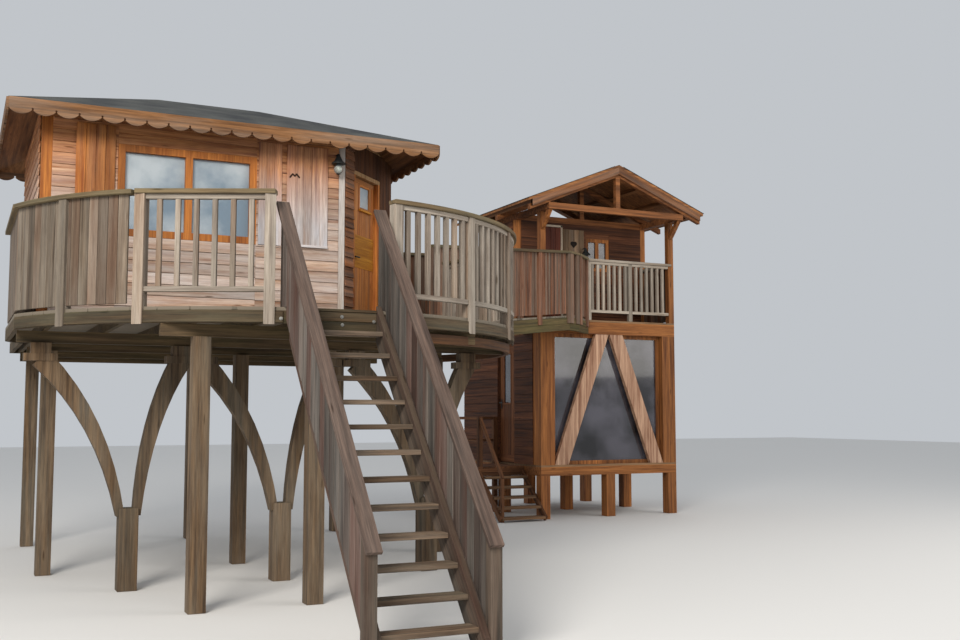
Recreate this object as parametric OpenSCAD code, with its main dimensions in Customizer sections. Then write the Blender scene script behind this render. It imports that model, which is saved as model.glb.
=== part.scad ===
// A timber tree house: a hipped cabin on a round raised deck with a steep stair,
// joined by a boarded walkway to a smaller two-storey lodge with a balcony.
// Plan positions are measured from the centre of the round deck: X runs along the
// cabin's front, Y runs back, and the whole is then centred on its own footprint.

/* [Deck] */
// Height of the deck's walking surface above the ground
deck_z = 2600; // [2200:50:3200]
// Radius of the round deck to the face of its rim
deck_r = 2750; // [2500:10:3000]
// How far the disc is cut away by the straight left edge of the deck
deck_cut = 175; // [150:5:250]
// Thickness of the deck boards
board_t = 30; // [20:1:45]
// Height of the curved rim board and the joists below the deck boards
rim_h = 110; // [90:5:140]
// Thickness of the rim board and the joists
rim_t = 45; // [30:1:60]
// Wanted distance between two joists
joist_pitch = 520; // [400:10:700]
// Height of the bearers below the joists
bearer_h = 110; // [90:5:140]
// Thickness of the bearers
bearer_t = 80; // [60:5:110]
// Side of the square posts that carry the deck
deck_post_w = 150; // [120:5:200]
// Height of the stumps that carry the raking struts
stump_h = 780; // [700:10:1100]
// Thickness of the curved strut arms
strut_w = 120; // [90:5:140]
// Width of a strut arm at its foot
arm_low = 75; // [70:5:120]
// Width of a strut arm at its head
arm_high = 190; // [150:5:210]
// Height of the block between a strut's corbel and its bearer
block_h = 100; // [80:5:130]
// Height of the corbel on a strut's head
corbel_h = 70; // [50:5:90]

/* [Railings] */
// Height of the railings above the floor they stand on
rail_h = 1020; // [900:10:1150]
// Width of the cap rail
cap_w = 120; // [90:5:150]
// Thickness of the cap rail
cap_t = 40; // [25:1:60]
// Side of the railing posts
rail_post_w = 95; // [80:1:120]
// Width and depth of an upright baluster
baluster_w = 44; // [30:1:60]
// Distance between the middles of two balusters on the deck
baluster_pitch = 118; // [100:1:160]
// Gap between the floor and the bottom rail
rail_gap = 130; // [80:5:160]
// Thickness of the boards of a closed railing
rail_board_t = 22; // [15:1:30]

/* [Stair] */
// Middle of the stair, across the front of the deck
stair_x = -50; // [-200:10:200]
// Clear width of the stair between its stringers
stair_w = 740; // [700:10:900]
// Number of risers from the ground to the deck
risers = 13; // [11:1:15]
// Horizontal distance from one tread to the next
going = 177; // [160:1:230]
// Thickness of a tread
tread_t = 40; // [30:1:50]
// Depth of a tread from front to back
tread_d = 170; // [120:5:190]
// Thickness of a stringer
stringer_t = 50; // [40:1:70]
// Height of a stringer, square to its slope
stringer_h = 220; // [180:5:260]
// Width of the flat handrail board
handrail_w = 115; // [90:5:130]
// Thickness of the handrail board
handrail_t = 50; // [35:1:60]
// Height of the handrail above the treads' front edges at the foot
handrail_low = 870; // [800:10:950]
// Height of the handrail above the deck at the stair's top
handrail_top = 780; // [700:10:850]
// How far the stair's railings reach back over the deck
railing_lap = 155; // [120:5:180]
// Gap between a stringer and the boards of its railing
railing_gap = 22; // [15:1:30]
// Side of the newel posts at the foot
newel_w = 90; // [60:1:100]

/* [Cabin] */
// Distance from the deck's middle back to the face of the front wall
front_y = 550; // [450:10:700]
// Distance from the deck's straight left edge in to the cabin's left wall
cabin_left_gap = 275; // [250:5:400]
// Distance from the deck's round right edge in to the cabin's right wall
cabin_right_gap = 690; // [600:10:800]
// Depth of the cabin's walls from front to back
cabin_d = 2900; // [2600:10:3200]
// Length of the front wall cut away at the doorway corner
corner_cut = 960; // [900:10:1060]
// Height of the eaves above the deck
eave_h = 2350; // [2300:10:2450]
// Thickness of the outer walls
wall_t = 90; // [70:5:120]
// Side of the square corner posts
corner_post_w = 110; // [100:5:140]
// Pitch of the hipped roof
hip_pitch = 20; // [15:1:26]
// Thickness of the roof slopes
roof_t = 60; // [45:1:90]
// How far the eaves stand out at the front, the left and the back
eave_out = 350; // [250:10:450]
// How far the right eave stands out past the doorway corner
eave_right = 120; // [100:5:200]
// Depth of the fascia boards above the scallops
fascia_h = 115; // [90:1:140]
// Thickness of the fascia boards
fascia_t = 25; // [18:1:35]
// Wanted distance between two notches of the scalloped edge
scallop_pitch = 229; // [200:1:260]
// How far the scallops hang below the fascia
scallop_drop = 55; // [40:1:70]
// Width of the notch between two scallops
notch_w = 14; // [10:1:20]
// Radius of the round hole at the top of a notch
notch_r = 11; // [9:1:14]

/* [Cabin openings] */
// Left side of the front window
window_x0 = -1515; // [-1600:5:-1400]
// Width of the front window between its posts
window_w = 1545; // [1400:5:1600]
// Height of the window sill above the deck
window_sill = 1030; // [900:10:1100]
// Height of the window
window_h = 1020; // [900:10:1060]
// Side of the window's posts and rails
window_frame_w = 80; // [60:1:100]
// Thickness of the glass
glass_t = 12; // [8:1:16]
// Width of the boarded shutter beside the window
shutter_w = 500; // [440:10:520]
// Height of the shutter
shutter_h = 1210; // [1100:10:1240]
// Thickness of the shutter
shutter_t = 40; // [30:1:50]
// Width of the cabin's door
door_w = 640; // [600:10:660]
// Height of both doors
door_h = 2000; // [1900:10:2050]
// Thickness of both doors
door_t = 44; // [36:1:50]
// Distance from the front corner to the cabin's doorway
doorway_from_corner = 290; // [260:10:320]
// Side of the door posts
door_frame_w = 50; // [40:1:60]
// Gap all round a door
door_gap = 8; // [8:1:10]
// Radius of the hinge knuckles
knuckle_r = 11; // [9:1:14]
// Height of a hinge knuckle
knuckle_h = 60; // [40:5:80]
// Side of the small square window in the cabin's door
door_pane = 260; // [200:10:300]

/* [Walkway] */
// Angle of the walkway to the cabin's front
walk_angle = 31.2; // [29:0.1:33]
// Length of the walkway's sloped stretch, along its near side
walk_len = 3740; // [3600:10:3850]
// Length of the level stretch before the walkway turns to the lodge
walk_level = 310; // [200:10:350]
// Width of the walkway between its railings
walk_w = 1100; // [950:10:1200]
// Height of the single step up from the deck to the walkway
walk_step = 230; // [200:5:260]
// Thickness of the walkway's edge beams
walk_beam_t = 45; // [35:1:60]
// How far the walkway's beams lie on the deck
walk_lap = 150; // [120:5:180]

/* [Lodge] */
// Distance from the end of the walkway's slope back to the lodge's left face
lodge_left_gap = 190; // [150:10:250]
// Distance from the end of the walkway's slope to the lodge's front
lodge_front_gap = 590; // [550:10:650]
// Width of the lodge
lodge_w = 2610; // [2500:10:2800]
// Depth of the lower room
lodge_d = 2900; // [2800:10:3100]
// Height of the lower floor above the ground
low_floor_z = 850; // [800:10:900]
// Height of the upper floor above the ground
up_floor_z = 3210; // [3160:10:3300]
// Side of the stub posts below the sill
stub_w = 165; // [150:5:180]
// Height of the sill beams
sill_h = 140; // [120:5:160]
// Side of the front corner posts
lodge_post_w = 255; // [230:5:270]
// Side of the rear posts
rear_post_w = 120; // [100:5:140]
// Height of the upper floor's beams
lodge_beam_h = 200; // [150:5:220]
// Thickness of the lodge's walls
lodge_wall_t = 80; // [60:5:100]
// Radius of the rounded rear edge of the lower room
round_r = 750; // [600:10:800]
// Horizontal width of the inverted V braces
brace_w = 250; // [220:5:270]

/* [Lodge upper storey] */
// Depth of the upper storey with its balcony
upper_d = 2250; // [2150:10:2300]
// Depth of the balcony in front of the upper room
balcony_d = 850; // [800:10:950]
// Height of the upper posts above the upper floor
upper_h = 1740; // [1650:10:1800]
// Side of the upper posts
upper_post_w = 100; // [80:5:120]
// Height of the plate beams on the upper posts
plate_h = 100; // [80:5:120]
// Pitch of the gable roof
gable_pitch = 22; // [20:0.1:24]
// How far the gable roof stands out over the eaves
lodge_eave = 385; // [300:5:450]
// How far the gable roof stands out in front
lodge_verge = 350; // [330:10:450]
// How far the gable roof stands out at the back
rear_verge = 150; // [100:10:200]
// Thickness of the gable roof's boards
lodge_roof_t = 40; // [30:1:60]
// Height of the barge rafters
barge_h = 110; // [90:5:130]
// Thickness of the barge rafters
barge_t = 45; // [35:1:60]
// Side of the purlins
purlin_w = 60; // [50:5:80]
// Side of the rafters and tie beams
rafter_w = 80; // [70:5:100]
// Left side of the upper window, from the lodge's left face
up_window_x = 1370; // [1300:10:1450]
// Width of the upper window
up_window_w = 480; // [400:10:520]
// Height of the upper window's sill above the upper floor
up_window_sill = 940; // [900:10:1000]
// Height of the upper window
up_window_h = 570; // [500:10:620]

/* [Lodge doorway] */
// Distance from the door's handle side to its tall window
lodge_pane_x = 150; // [100:10:200]
// Width of the tall window in the lodge's door
lodge_pane_w = 230; // [180:10:260]
// Distance from the lodge's front to its doorway
lodge_door_y = 905; // [850:10:950]
// Width of the lodge's door
lodge_door_w = 600; // [560:10:640]
// Number of treads up to the landing
lodge_treads = 5; // [4:1:5]
// Distance from one tread to the next
lodge_going = 150; // [140:5:170]
// How far the landing stands out from the lodge
landing_d = 830; // [650:10:850]
// Width of the landing along the lodge
landing_w = 1000; // [900:10:1100]
// Height of the landing's rail above the landing
landing_rail_h = 800; // [750:10:900]

/* [Hidden] */
$fn = 72;
ring_fn = 360;

// Levels of the deck's layers
riser = deck_z / risers;
under_boards = deck_z - board_t;
under_rim = under_boards - rim_h;
under_bearers = under_rim - bearer_h;
under_corbels = under_bearers - block_h - corbel_h;
seat = 0.2;
cap_z = deck_z + rail_h;

// Railings stand on the edge of the deck, their posts notched over the rim
rail_r = deck_r - 15;
post_in = 65;
post_out = 30;
sub_rail_h = 45;
sub_rail_w = baluster_w + 16;
left_a = [-103.5, -127];
deck_left = -(deck_r - deck_cut);
boarded_x = deck_left + 15;
boarded_a = [180 + acos(-boarded_x / rail_r), 231.5];
boarded_y = [rail_r * sin(boarded_a[0]), front_y + 100];
curve_a = [-79, 18];

// The stair's line through the treads' front edges
stair_half = stair_w / 2;
stair_top_y = -sqrt(deck_r * deck_r - pow(stair_half + stringer_t + abs(stair_x), 2));
slope = atan(riser / going);
foot_y = stair_top_y - going * (risers - 1);
newel_y = foot_y - newel_w / 2;
handrail_end = 25;

// The cabin's plan and its roof
cabin_x0 = deck_left + cabin_left_gap;
cabin_x1 = deck_r - cabin_right_gap;
cabin_back = front_y + cabin_d;
corner_x = cabin_x1 - corner_cut;
diag_len = corner_cut * sqrt(2);
eave_z = deck_z + eave_h;
hip_x0 = cabin_x0 - eave_out;
hip_x1 = cabin_x1 + eave_right;
hip_y0 = front_y - eave_out;
hip_y1 = cabin_back + eave_out;
hip_drop = roof_t / cos(hip_pitch);
raw_wall_h = eave_h + 400;
mitre = wall_t / sqrt(2);
sill_z = deck_z + window_sill;

// Doors, their panes and their hinges
doorway_w = door_w + 2 * door_gap;
doorway_h = door_h + 2 * door_gap;
door_x0 = doorway_from_corner;
door_x1 = door_x0 + doorway_w;
hinge_heights = [260, door_h - 240];
pin_in = 3;
pin_out = knuckle_r + 1;
pin_play = 0.3;
strap_len = 90;
strap_t = 6;
cabin_pane = [(door_w - door_pane) / 2 + 50, door_h - door_pane - 90, door_pane, door_pane];
lodge_pane = [lodge_pane_x, 1000, lodge_pane_w, 820];

// The walkway's near side runs from the deck's edge towards the lodge's front
walk_start = [(deck_r - walk_lap) * cos(22), (deck_r - walk_lap) * sin(22)];
walk_z0 = deck_z + walk_step;
walk_rise = up_floor_z - walk_z0;
walk_dir = [cos(walk_angle), sin(walk_angle)];
walk_across = [-sin(walk_angle), cos(walk_angle)];
near_end = walk_start + walk_len * walk_dir;
far_end = near_end + walk_w * walk_across;
near_bend = near_end + walk_level * walk_dir;
lodge_x = near_end[0] - lodge_left_gap;
lodge_y = near_end[1] + lodge_front_gap;
turn_x = near_bend[0] + lodge_y - near_bend[1];
far_y = far_end[1] + (lodge_x - far_end[0]) * tan(walk_angle);
joint_gap = 2;

// The lodge's plan and levels
lodge_x1 = lodge_x + lodge_w;
lodge_y1 = lodge_y + lodge_d;
upper_y1 = lodge_y + upper_d;
lodge_cx = lodge_x + lodge_w / 2;
sill_top = low_floor_z - board_t;
sill_bottom = sill_top - sill_h;
beam_top = up_floor_z - board_t;
beam_bottom = beam_top - lodge_beam_h;
low_wall_h = beam_bottom - low_floor_z;
plate_z = up_floor_z + upper_h;
gable_half = lodge_w / 2 + lodge_eave;
plate_top = plate_z + plate_h;
rafter_drop = rafter_w / cos(gable_pitch);
purlin_drop = purlin_w / cos(gable_pitch);
roof_drop = lodge_roof_t / cos(gable_pitch);
ridge_z = plate_top + rafter_drop + purlin_drop + roof_drop + lodge_w / 2 * tan(gable_pitch);
gable_eave_z = ridge_z - gable_half * tan(gable_pitch);
shell_top = beam_bottom + lodge_wall_t;
room_y = lodge_y + balcony_d;
mid_row_lodge = lodge_y + (lodge_d - stub_w) / 2;
frame_w = 60;
board_gap = 30;
rail_post_t = 38;
lodge_doorway_w = lodge_door_w + 2 * door_gap;
lodge_door_y0 = lodge_y + lodge_door_y;
lodge_door_y1 = lodge_door_y0 + lodge_doorway_w;
landing_z = low_floor_z - board_t;
landing_y1 = lodge_door_y1 + 60;
landing_y0 = landing_y1 - landing_w;
lodge_riser = landing_z / (lodge_treads + 0.5);

// The footprint runs from the cabin's left eave to the lodge's right eave, and from the
// handrails' ends to the back of the lodge
site_x0 = min(boarded_x - cap_w / 2, cabin_x0 - eave_out - fascia_t);
site_x1 = lodge_x1 + lodge_eave;
site_y0 = foot_y - newel_w - handrail_end;
site_y1 = max(upper_y1 + rear_verge, lodge_y1);

module site()
    translate([-(site_x0 + site_x1) / 2, -(site_y0 + site_y1) / 2, 0])
        children();

// An upright square post standing on plan point p
module post(p, w, z0, z1)
    translate([p[0] - w / 2, p[1] - w / 2, z0])
        cube([w, w, z1 - z0]);

// A level timber along X, w deep in Y
module bar_x(x0, x1, y, w, z0, z1)
    translate([x0, y - w / 2, z0])
        cube([x1 - x0, w, z1 - z0]);

// A raking timber whose middle line runs from p to q, with level cut ends
module raker(p, q, w) {
    run = q - p;
    flat = norm([run[0], run[1]]);
    intersection() {
        translate(p)
            rotate([0, 0, atan2(run[1], run[0])])
                rotate([0, -atan2(run[2], flat), 0])
                    translate([-2 * w, -w / 2, -w / 2])
                        cube([norm(run) + 4 * w, w, w]);
        translate([min(p[0], q[0]) - 2 * w, min(p[1], q[1]) - 2 * w, p[2]])
            cube([abs(run[0]) + 4 * w, abs(run[1]) + 4 * w, run[2]]);
    }
}

// Lays an outline drawn in Y and Z along X, from x to x + t
module side_plate(x, t)
    translate([x, 0, 0])
        rotate([90, 0, 90])
            linear_extrude(t)
                children();

// Lays an outline drawn in X and Z along Y, from y to y + t
module front_plate(y, t)
    translate([0, y + t, 0])
        rotate([90, 0, 0])
            linear_extrude(t)
                children();

// Part of a ring between two radii and two angles
module ring(r0, r1, z0, z1, a)
    translate([0, 0, z0])
        rotate([0, 0, a[0]])
            rotate_extrude(angle = a[1] - a[0], $fn = ring_fn)
                translate([r0, 0])
                    square([r1 - r0, z1 - z0]);

// The deck's outline: a disc cut straight on the left, and a platform under the cabin
module deck_outline(inset)
    difference() {
        union() {
            intersection() {
                circle(r = deck_r - inset, $fn = ring_fn);
                translate([deck_left + inset, -deck_r])
                    square(2 * deck_r);
            }
            translate([cabin_x0 - 120 + inset, 0])
                square([cabin_x1 - cabin_x0 + 240 - 2 * inset, cabin_back + 100 - inset]);
        }
        translate([stair_x - stair_half - stringer_t - inset, stair_top_y - 600 + inset])
            square([stair_w + 2 * stringer_t + 2 * inset, 600]);
    }

// Plan places of the stumps, of the struts' heads on them, and of the plain posts
front_row_y = stair_top_y + 430;
mid_row_y = -800;
stumps = [for (x = [-1500, 0, 1620]) [x, mid_row_y]];
strut_heads = [-830, 470];
side_post_x = cabin_x1 + 260;
plain_posts = [for (x = [-1135, -100]) [x, front_row_y],
               for (x = [cabin_x0 + 150, -100, side_post_x]) [x, front_y + 50],
               for (x = [cabin_x0 + 150, -100, cabin_x1 - 100]) [x, cabin_back - 100]];

// A point on a strut arm's curved middle line, and its square direction there
function bend(p0, p1, p2, t) = (1 - t) * (1 - t) * p0 + 2 * t * (1 - t) * p1 + t * t * p2;
function bend_side(p0, p1, p2, t) = let (d = (1 - t) * (p1 - p0) + t * (p2 - p1)) [-d[1], d[0]] / norm(d);
arm_steps = [for (i = [0:8]) i / 8];

// The outline of one curved, tapered strut arm that rises from the stump to x
module arm_outline(x) {
    p0 = [sign(x) * deck_post_w / 2, stump_h - 70];
    p2 = [x, under_corbels + 30];
    p1 = [x * 0.3, p0[1] + (p2[1] - p0[1]) * 0.62];
    polygon(concat(
        [for (t = arm_steps)
            bend(p0, p1, p2, t) + (arm_low + t * (arm_high - arm_low)) / 2 * bend_side(p0, p1, p2, t)],
        [for (t = arm_steps)
            bend(p0, p1, p2, 1 - t) - (arm_high - t * (arm_high - arm_low)) / 2
                * bend_side(p0, p1, p2, 1 - t)]));
}

module deck_posts()
    color("saddlebrown")
        site() {
            for (p = plain_posts)
                post(p, deck_post_w, 0, under_bearers);
            for (p = stumps)
                union() {
                    post(p, deck_post_w + 30, 0, stump_h);
                    translate([p[0], p[1] - strut_w / 2, 0])
                        front_plate(0, strut_w)
                            intersection() {
                                union()
                                    for (x = strut_heads)
                                        arm_outline(x);
                                translate([-deck_r, 0])
                                    square([2 * deck_r, under_corbels + 1]);
                            }
                    for (x = strut_heads) {
                        bar_x(p[0] + x - 150, p[0] + x + 150, p[1], strut_w + 20,
                              under_corbels, under_corbels + corbel_h);
                        bar_x(p[0] + x - 90, p[0] + x + 90, p[1], strut_w + 10,
                              under_corbels + corbel_h - 1, under_bearers);
                    }
                }
        }

bearer_rows = [front_row_y, mid_row_y, front_y + 50, 2000, cabin_back - 100];

// Half the length of a bearer: within the round front, or under the cabin
function bearer_half(y) = y < 0 ? sqrt(pow(deck_r - 30, 2) - y * y) : 0;

module deck_bearers()
    color("olive")
        site()
            for (y = bearer_rows)
                if (y < 0)
                    bar_x(max(-bearer_half(y), deck_left + 30), bearer_half(y), y, bearer_t,
                          under_bearers, under_rim);
                else
                    bar_x(cabin_x0, y < cabin_back / 2 ? side_post_x + deck_post_w / 2 : cabin_x1, y,
                          bearer_t, under_bearers, under_rim);

joist_n = round((cabin_x1 - cabin_x0) / joist_pitch);

module deck_frame()
    color("olive")
        site()
            translate([0, 0, under_rim])
                linear_extrude(rim_h)
                    union() {
                        difference() {
                            deck_outline(0);
                            deck_outline(rim_t);
                        }
                        intersection() {
                            deck_outline(rim_t / 2);
                            for (i = [0:joist_n])
                                translate([cabin_x0 + i * (cabin_x1 - cabin_x0) / joist_n - rim_t / 2,
                                           -deck_r])
                                    square([rim_t, 2 * deck_r + cabin_d]);
                        }
                    }

module deck_floor()
    color("tan")
        site()
            translate([0, 0, under_boards])
                linear_extrude(board_t)
                    deck_outline(0);

// A railing post notched over the deck's rim, at an angle round the deck
module ring_post(a)
    rotate(a)
        front_plate(-rail_post_w / 2, rail_post_w)
            polygon([[deck_r - post_in, deck_z + seat], [deck_r + seat, deck_z + seat],
                     [deck_r + seat, under_rim + 25], [deck_r + post_out, under_rim - 15],
                     [deck_r + post_out, cap_z - cap_t], [deck_r - post_in, cap_z - cap_t]]);

// A straight open railing of a given length along X, without its posts
module open_railing(len, pitch) {
    n = max(1, round(len / pitch) - 1);
    bar_x(0, len, 0, cap_w, rail_h - cap_t, rail_h);
    bar_x(0, len, 0, sub_rail_w, rail_h - cap_t - sub_rail_h, rail_h - cap_t + 1);
    bar_x(0, len, 0, sub_rail_w, rail_gap, rail_gap + sub_rail_h);
    for (i = [1:n])
        bar_x(i * len / (n + 1) - baluster_w / 2, i * len / (n + 1) + baluster_w / 2, 0,
              baluster_w, rail_gap + 10, rail_h - cap_t - 10);
}

// Places what follows at plan point p, turned to run towards q
module towards(p, q, z)
    translate([p[0], p[1], z])
        rotate(atan2(q[1] - p[1], q[0] - p[0]))
            children();

function on_ring(a) = [rail_r * cos(a), rail_r * sin(a)];

module deck_railing_left()
    color("lightgray")
        site()
            union() {
                towards(on_ring(left_a[0]), on_ring(left_a[1]), deck_z)
                    open_railing(norm(on_ring(left_a[1]) - on_ring(left_a[0])), 160);
                for (a = left_a)
                    ring_post(a);
            }

// The plan of the boarded railing, a band of a given width that follows the rim
module boarded_band(w)
    union() {
        intersection() {
            difference() {
                circle(r = rail_r + w / 2, $fn = ring_fn);
                circle(r = rail_r - w / 2, $fn = ring_fn);
            }
            polygon([[0, 0], [-2 * deck_r, -2 * deck_r * tan(boarded_a[0])], [-2 * deck_r, -4 * deck_r],
                     4 * deck_r * [cos(boarded_a[1]), sin(boarded_a[1])]]);
        }
        translate([boarded_x - w / 2, boarded_y[0] - w / 4])
            square([w, boarded_y[1] - boarded_y[0] + w / 4]);
        translate([boarded_x - w / 2, boarded_y[1] - w / 2])
            square([cabin_x0 - seat - boarded_x + w / 2, w]);
    }

module deck_railing_boarded()
    color("rosybrown")
        site()
            union() {
                translate([0, 0, cap_z - cap_t])
                    linear_extrude(cap_t)
                        boarded_band(cap_w);
                translate([0, 0, deck_z + board_gap])
                    linear_extrude(rail_h - cap_t - board_gap + 1)
                        boarded_band(rail_board_t);
                ring_post((boarded_a[0] + boarded_a[1]) / 2);
                for (y = [boarded_y[0] + 60, boarded_y[1] - 110])
                    translate([boarded_x + rail_board_t / 2 - 1, y, deck_z + seat])
                        cube([60, 80, rail_h - cap_t]);
            }

curve_n = round(rail_r * (curve_a[1] - curve_a[0]) * PI / 180 / baluster_pitch);

module deck_railing_curved()
    color("silver")
        site()
            union() {
                ring(rail_r - cap_w / 2, rail_r + cap_w / 2, cap_z - cap_t, cap_z,
                     [curve_a[0] - 1.1, curve_a[1] + 1.1]);
                ring(rail_r - sub_rail_w / 2, rail_r + sub_rail_w / 2, cap_z - cap_t - sub_rail_h,
                     cap_z - cap_t + 1, curve_a);
                ring(rail_r - sub_rail_w / 2, rail_r + sub_rail_w / 2, deck_z + rail_gap,
                     deck_z + rail_gap + sub_rail_h, curve_a);
                for (i = [0:curve_n]) {
                    a = curve_a[0] + i * (curve_a[1] - curve_a[0]) / curve_n;
                    if (i % 8 == 0 || i == curve_n)
                        ring_post(a);
                    else
                        rotate(a)
                            translate([rail_r - baluster_w / 2, -baluster_w / 2, deck_z + rail_gap + 10])
                                cube([baluster_w, baluster_w, rail_h - cap_t - rail_gap - 20]);
                }
            }

function stair_line(y) = deck_z + (y - stair_top_y) * riser / going;
stringer_rise = 40;
stringer_drop = stringer_h / cos(slope) - stringer_rise;

module stair_stringers()
    color("sienna")
        site()
            for (x = [stair_x - stair_half - stringer_t, stair_x + stair_half])
                side_plate(x, stringer_t)
                    polygon([[foot_y - going / 2, 0],
                             [foot_y - going / 2, stair_line(foot_y - going / 2) + stringer_rise],
                             [stair_top_y, deck_z + stringer_rise],
                             [stair_top_y, deck_z - stringer_drop],
                             [stair_top_y - (deck_z - stringer_drop) * going / riser, 0]]);

module stair_treads()
    color("burlywood")
        site()
            for (i = [1:risers - 1])
                translate([stair_x - stair_half, stair_top_y - i * going, deck_z - i * riser - tread_t])
                    cube([stair_w, tread_d, tread_t]);

// The middle of a stair railing, outside its stringer
railing_x = stair_half + stringer_t + railing_gap + rail_board_t / 2;

function handrail_z(y) = handrail_low + (deck_z + handrail_top - handrail_low)
    * (y - newel_y) / (stair_top_y - newel_y);

module stair_newels()
    color("rosybrown")
        site()
            for (side = [-1, 1])
                side_plate(stair_x + side * (stair_half + stringer_t + newel_w / 2) - newel_w / 2, newel_w)
                    polygon([[newel_y - newel_w / 2, 0], [newel_y + newel_w / 2, 0],
                             [newel_y + newel_w / 2, handrail_z(newel_y + newel_w / 2) - handrail_t],
                             [newel_y - newel_w / 2, handrail_z(newel_y - newel_w / 2) - handrail_t]]);

// A closed stair railing: a flat handrail, its boards, and the batten that holds them off
// the stringer
module stair_railing(side) {
    y0 = newel_y + newel_w / 2;
    y1 = stair_top_y + railing_lap;
    end_y = newel_y - newel_w / 2 - handrail_end;
    x = stair_x + side * railing_x;
    side_plate(x - rail_board_t / 2, rail_board_t)
        polygon([[y0, stair_line(y0) - 60], [-deck_r, stair_line(-deck_r) - 60],
                 [-deck_r, deck_z + seat], [y1, deck_z + seat],
                 [y1, handrail_z(y1) - handrail_t + 1], [y0, handrail_z(y0) - handrail_t + 1]]);
    side_plate(x - handrail_w / 2, handrail_w)
        polygon([[end_y, handrail_z(end_y) - handrail_t], [y1, handrail_z(y1) - handrail_t],
                 [y1, handrail_z(y1)], [end_y, handrail_z(end_y)]]);
    side_plate(stair_x + side * (railing_x - rail_board_t / 2 + 1 - (railing_gap + 1) / 2)
               - (railing_gap + 1) / 2, railing_gap + 1)
        polygon([[y0, stair_line(y0) - 40], [-deck_r, stair_line(-deck_r) - 40],
                 [-deck_r, stair_line(-deck_r)], [y0, stair_line(y0)]]);
}

module stair_railing_left()
    color("gray")
        site()
            stair_railing(-1);

module stair_railing_right()
    color("gray")
        site()
            stair_railing(1);

// The outlines of the hipped roof's long and short sides over a flat base
module hip_side(z0, z1) {
    half = (hip_y1 - hip_y0) / 2;
    polygon([[hip_y0, z0], [hip_y1, z0], [hip_y1, z1],
             [hip_y0 + half, z1 + half * tan(hip_pitch)], [hip_y0, z1]]);
}

module hip_front(z0, z1) {
    half = (hip_y1 - hip_y0) / 2;
    polygon([[hip_x0, z0], [hip_x1, z0], [hip_x1, z1], [hip_x1 - half, z1 + half * tan(hip_pitch)],
             [hip_x0 + half, z1 + half * tan(hip_pitch)], [hip_x0, z1]]);
}

// All that lies under the hipped roof's slopes when they are lowered by drop
module under_hip(z0, drop)
    intersection() {
        side_plate(hip_x0, hip_x1 - hip_x0)
            hip_side(z0, eave_z - drop);
        front_plate(hip_y0, hip_y1 - hip_y0)
            hip_front(z0, eave_z - drop);
    }

module cabin_roof()
    color("dimgray")
        site()
            difference() {
                under_hip(eave_z - hip_drop, 0);
                translate([0, 0, -hip_drop])
                    under_hip(eave_z - hip_drop, 0);
            }

module cabin_front_wall()
    color("wheat")
        site()
            intersection() {
                difference() {
                    translate([cabin_x0 + corner_post_w, front_y, deck_z])
                        cube([corner_x - cabin_x0 - 2 * corner_post_w, wall_t, raw_wall_h]);
                    translate([window_x0, front_y - 1, sill_z])
                        cube([window_w, wall_t + 2, window_h]);
                }
                under_hip(deck_z, hip_drop + seat);
            }

module cabin_rear_walls()
    color("wheat")
        site()
            intersection() {
                union() {
                    translate([cabin_x0, front_y + corner_post_w, deck_z])
                        cube([wall_t, cabin_d - 2 * corner_post_w, raw_wall_h]);
                    translate([cabin_x0 + corner_post_w, cabin_back - wall_t, deck_z])
                        cube([cabin_x1 - cabin_x0 - 2 * corner_post_w, wall_t, raw_wall_h]);
                    translate([cabin_x1 - wall_t, front_y + corner_cut + corner_post_w, deck_z])
                        cube([wall_t, cabin_d - corner_cut - 2 * corner_post_w, raw_wall_h]);
                }
                under_hip(deck_z, hip_drop + seat);
            }

// The doorway wall's own frame: x along the wall from the front corner, y inwards
module diagonal()
    translate([corner_x, front_y, deck_z])
        rotate(45)
            children();

module cabin_door_wall()
    color("sienna")
        site()
            intersection() {
                diagonal() {
                    translate([wall_t + seat, 0, 0])
                        cube([door_x0 - door_frame_w - wall_t - 2 * seat, wall_t, raw_wall_h]);
                    translate([door_x1 + door_frame_w + seat, 0, 0])
                        cube([diag_len - door_x1 - door_frame_w - wall_t - 2 * seat, wall_t, raw_wall_h]);
                }
                under_hip(deck_z, hip_drop + seat);
            }

// The lodge's doorway wall's own frame: x to the right seen from outside, y inwards
module lodge_doorway()
    translate([lodge_x, lodge_door_y1, low_floor_z])
        rotate(-90)
            children();

module doorway_heads()
    color("sienna")
        site() {
            intersection() {
                diagonal() {
                    translate([door_x0 - door_frame_w, 0, doorway_h + seat])
                        cube([doorway_w + 2 * door_frame_w, wall_t, raw_wall_h]);
                    translate([door_x0 - door_frame_w, -10, doorway_h + seat])
                        cube([doorway_w + 2 * door_frame_w, wall_t, door_frame_w]);
                }
                under_hip(deck_z, hip_drop + seat);
            }
            lodge_doorway()
                translate([seat, 0, doorway_h])
                    cube([lodge_doorway_w - 2 * seat, lodge_wall_t, low_wall_h - doorway_h]);
        }

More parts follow.
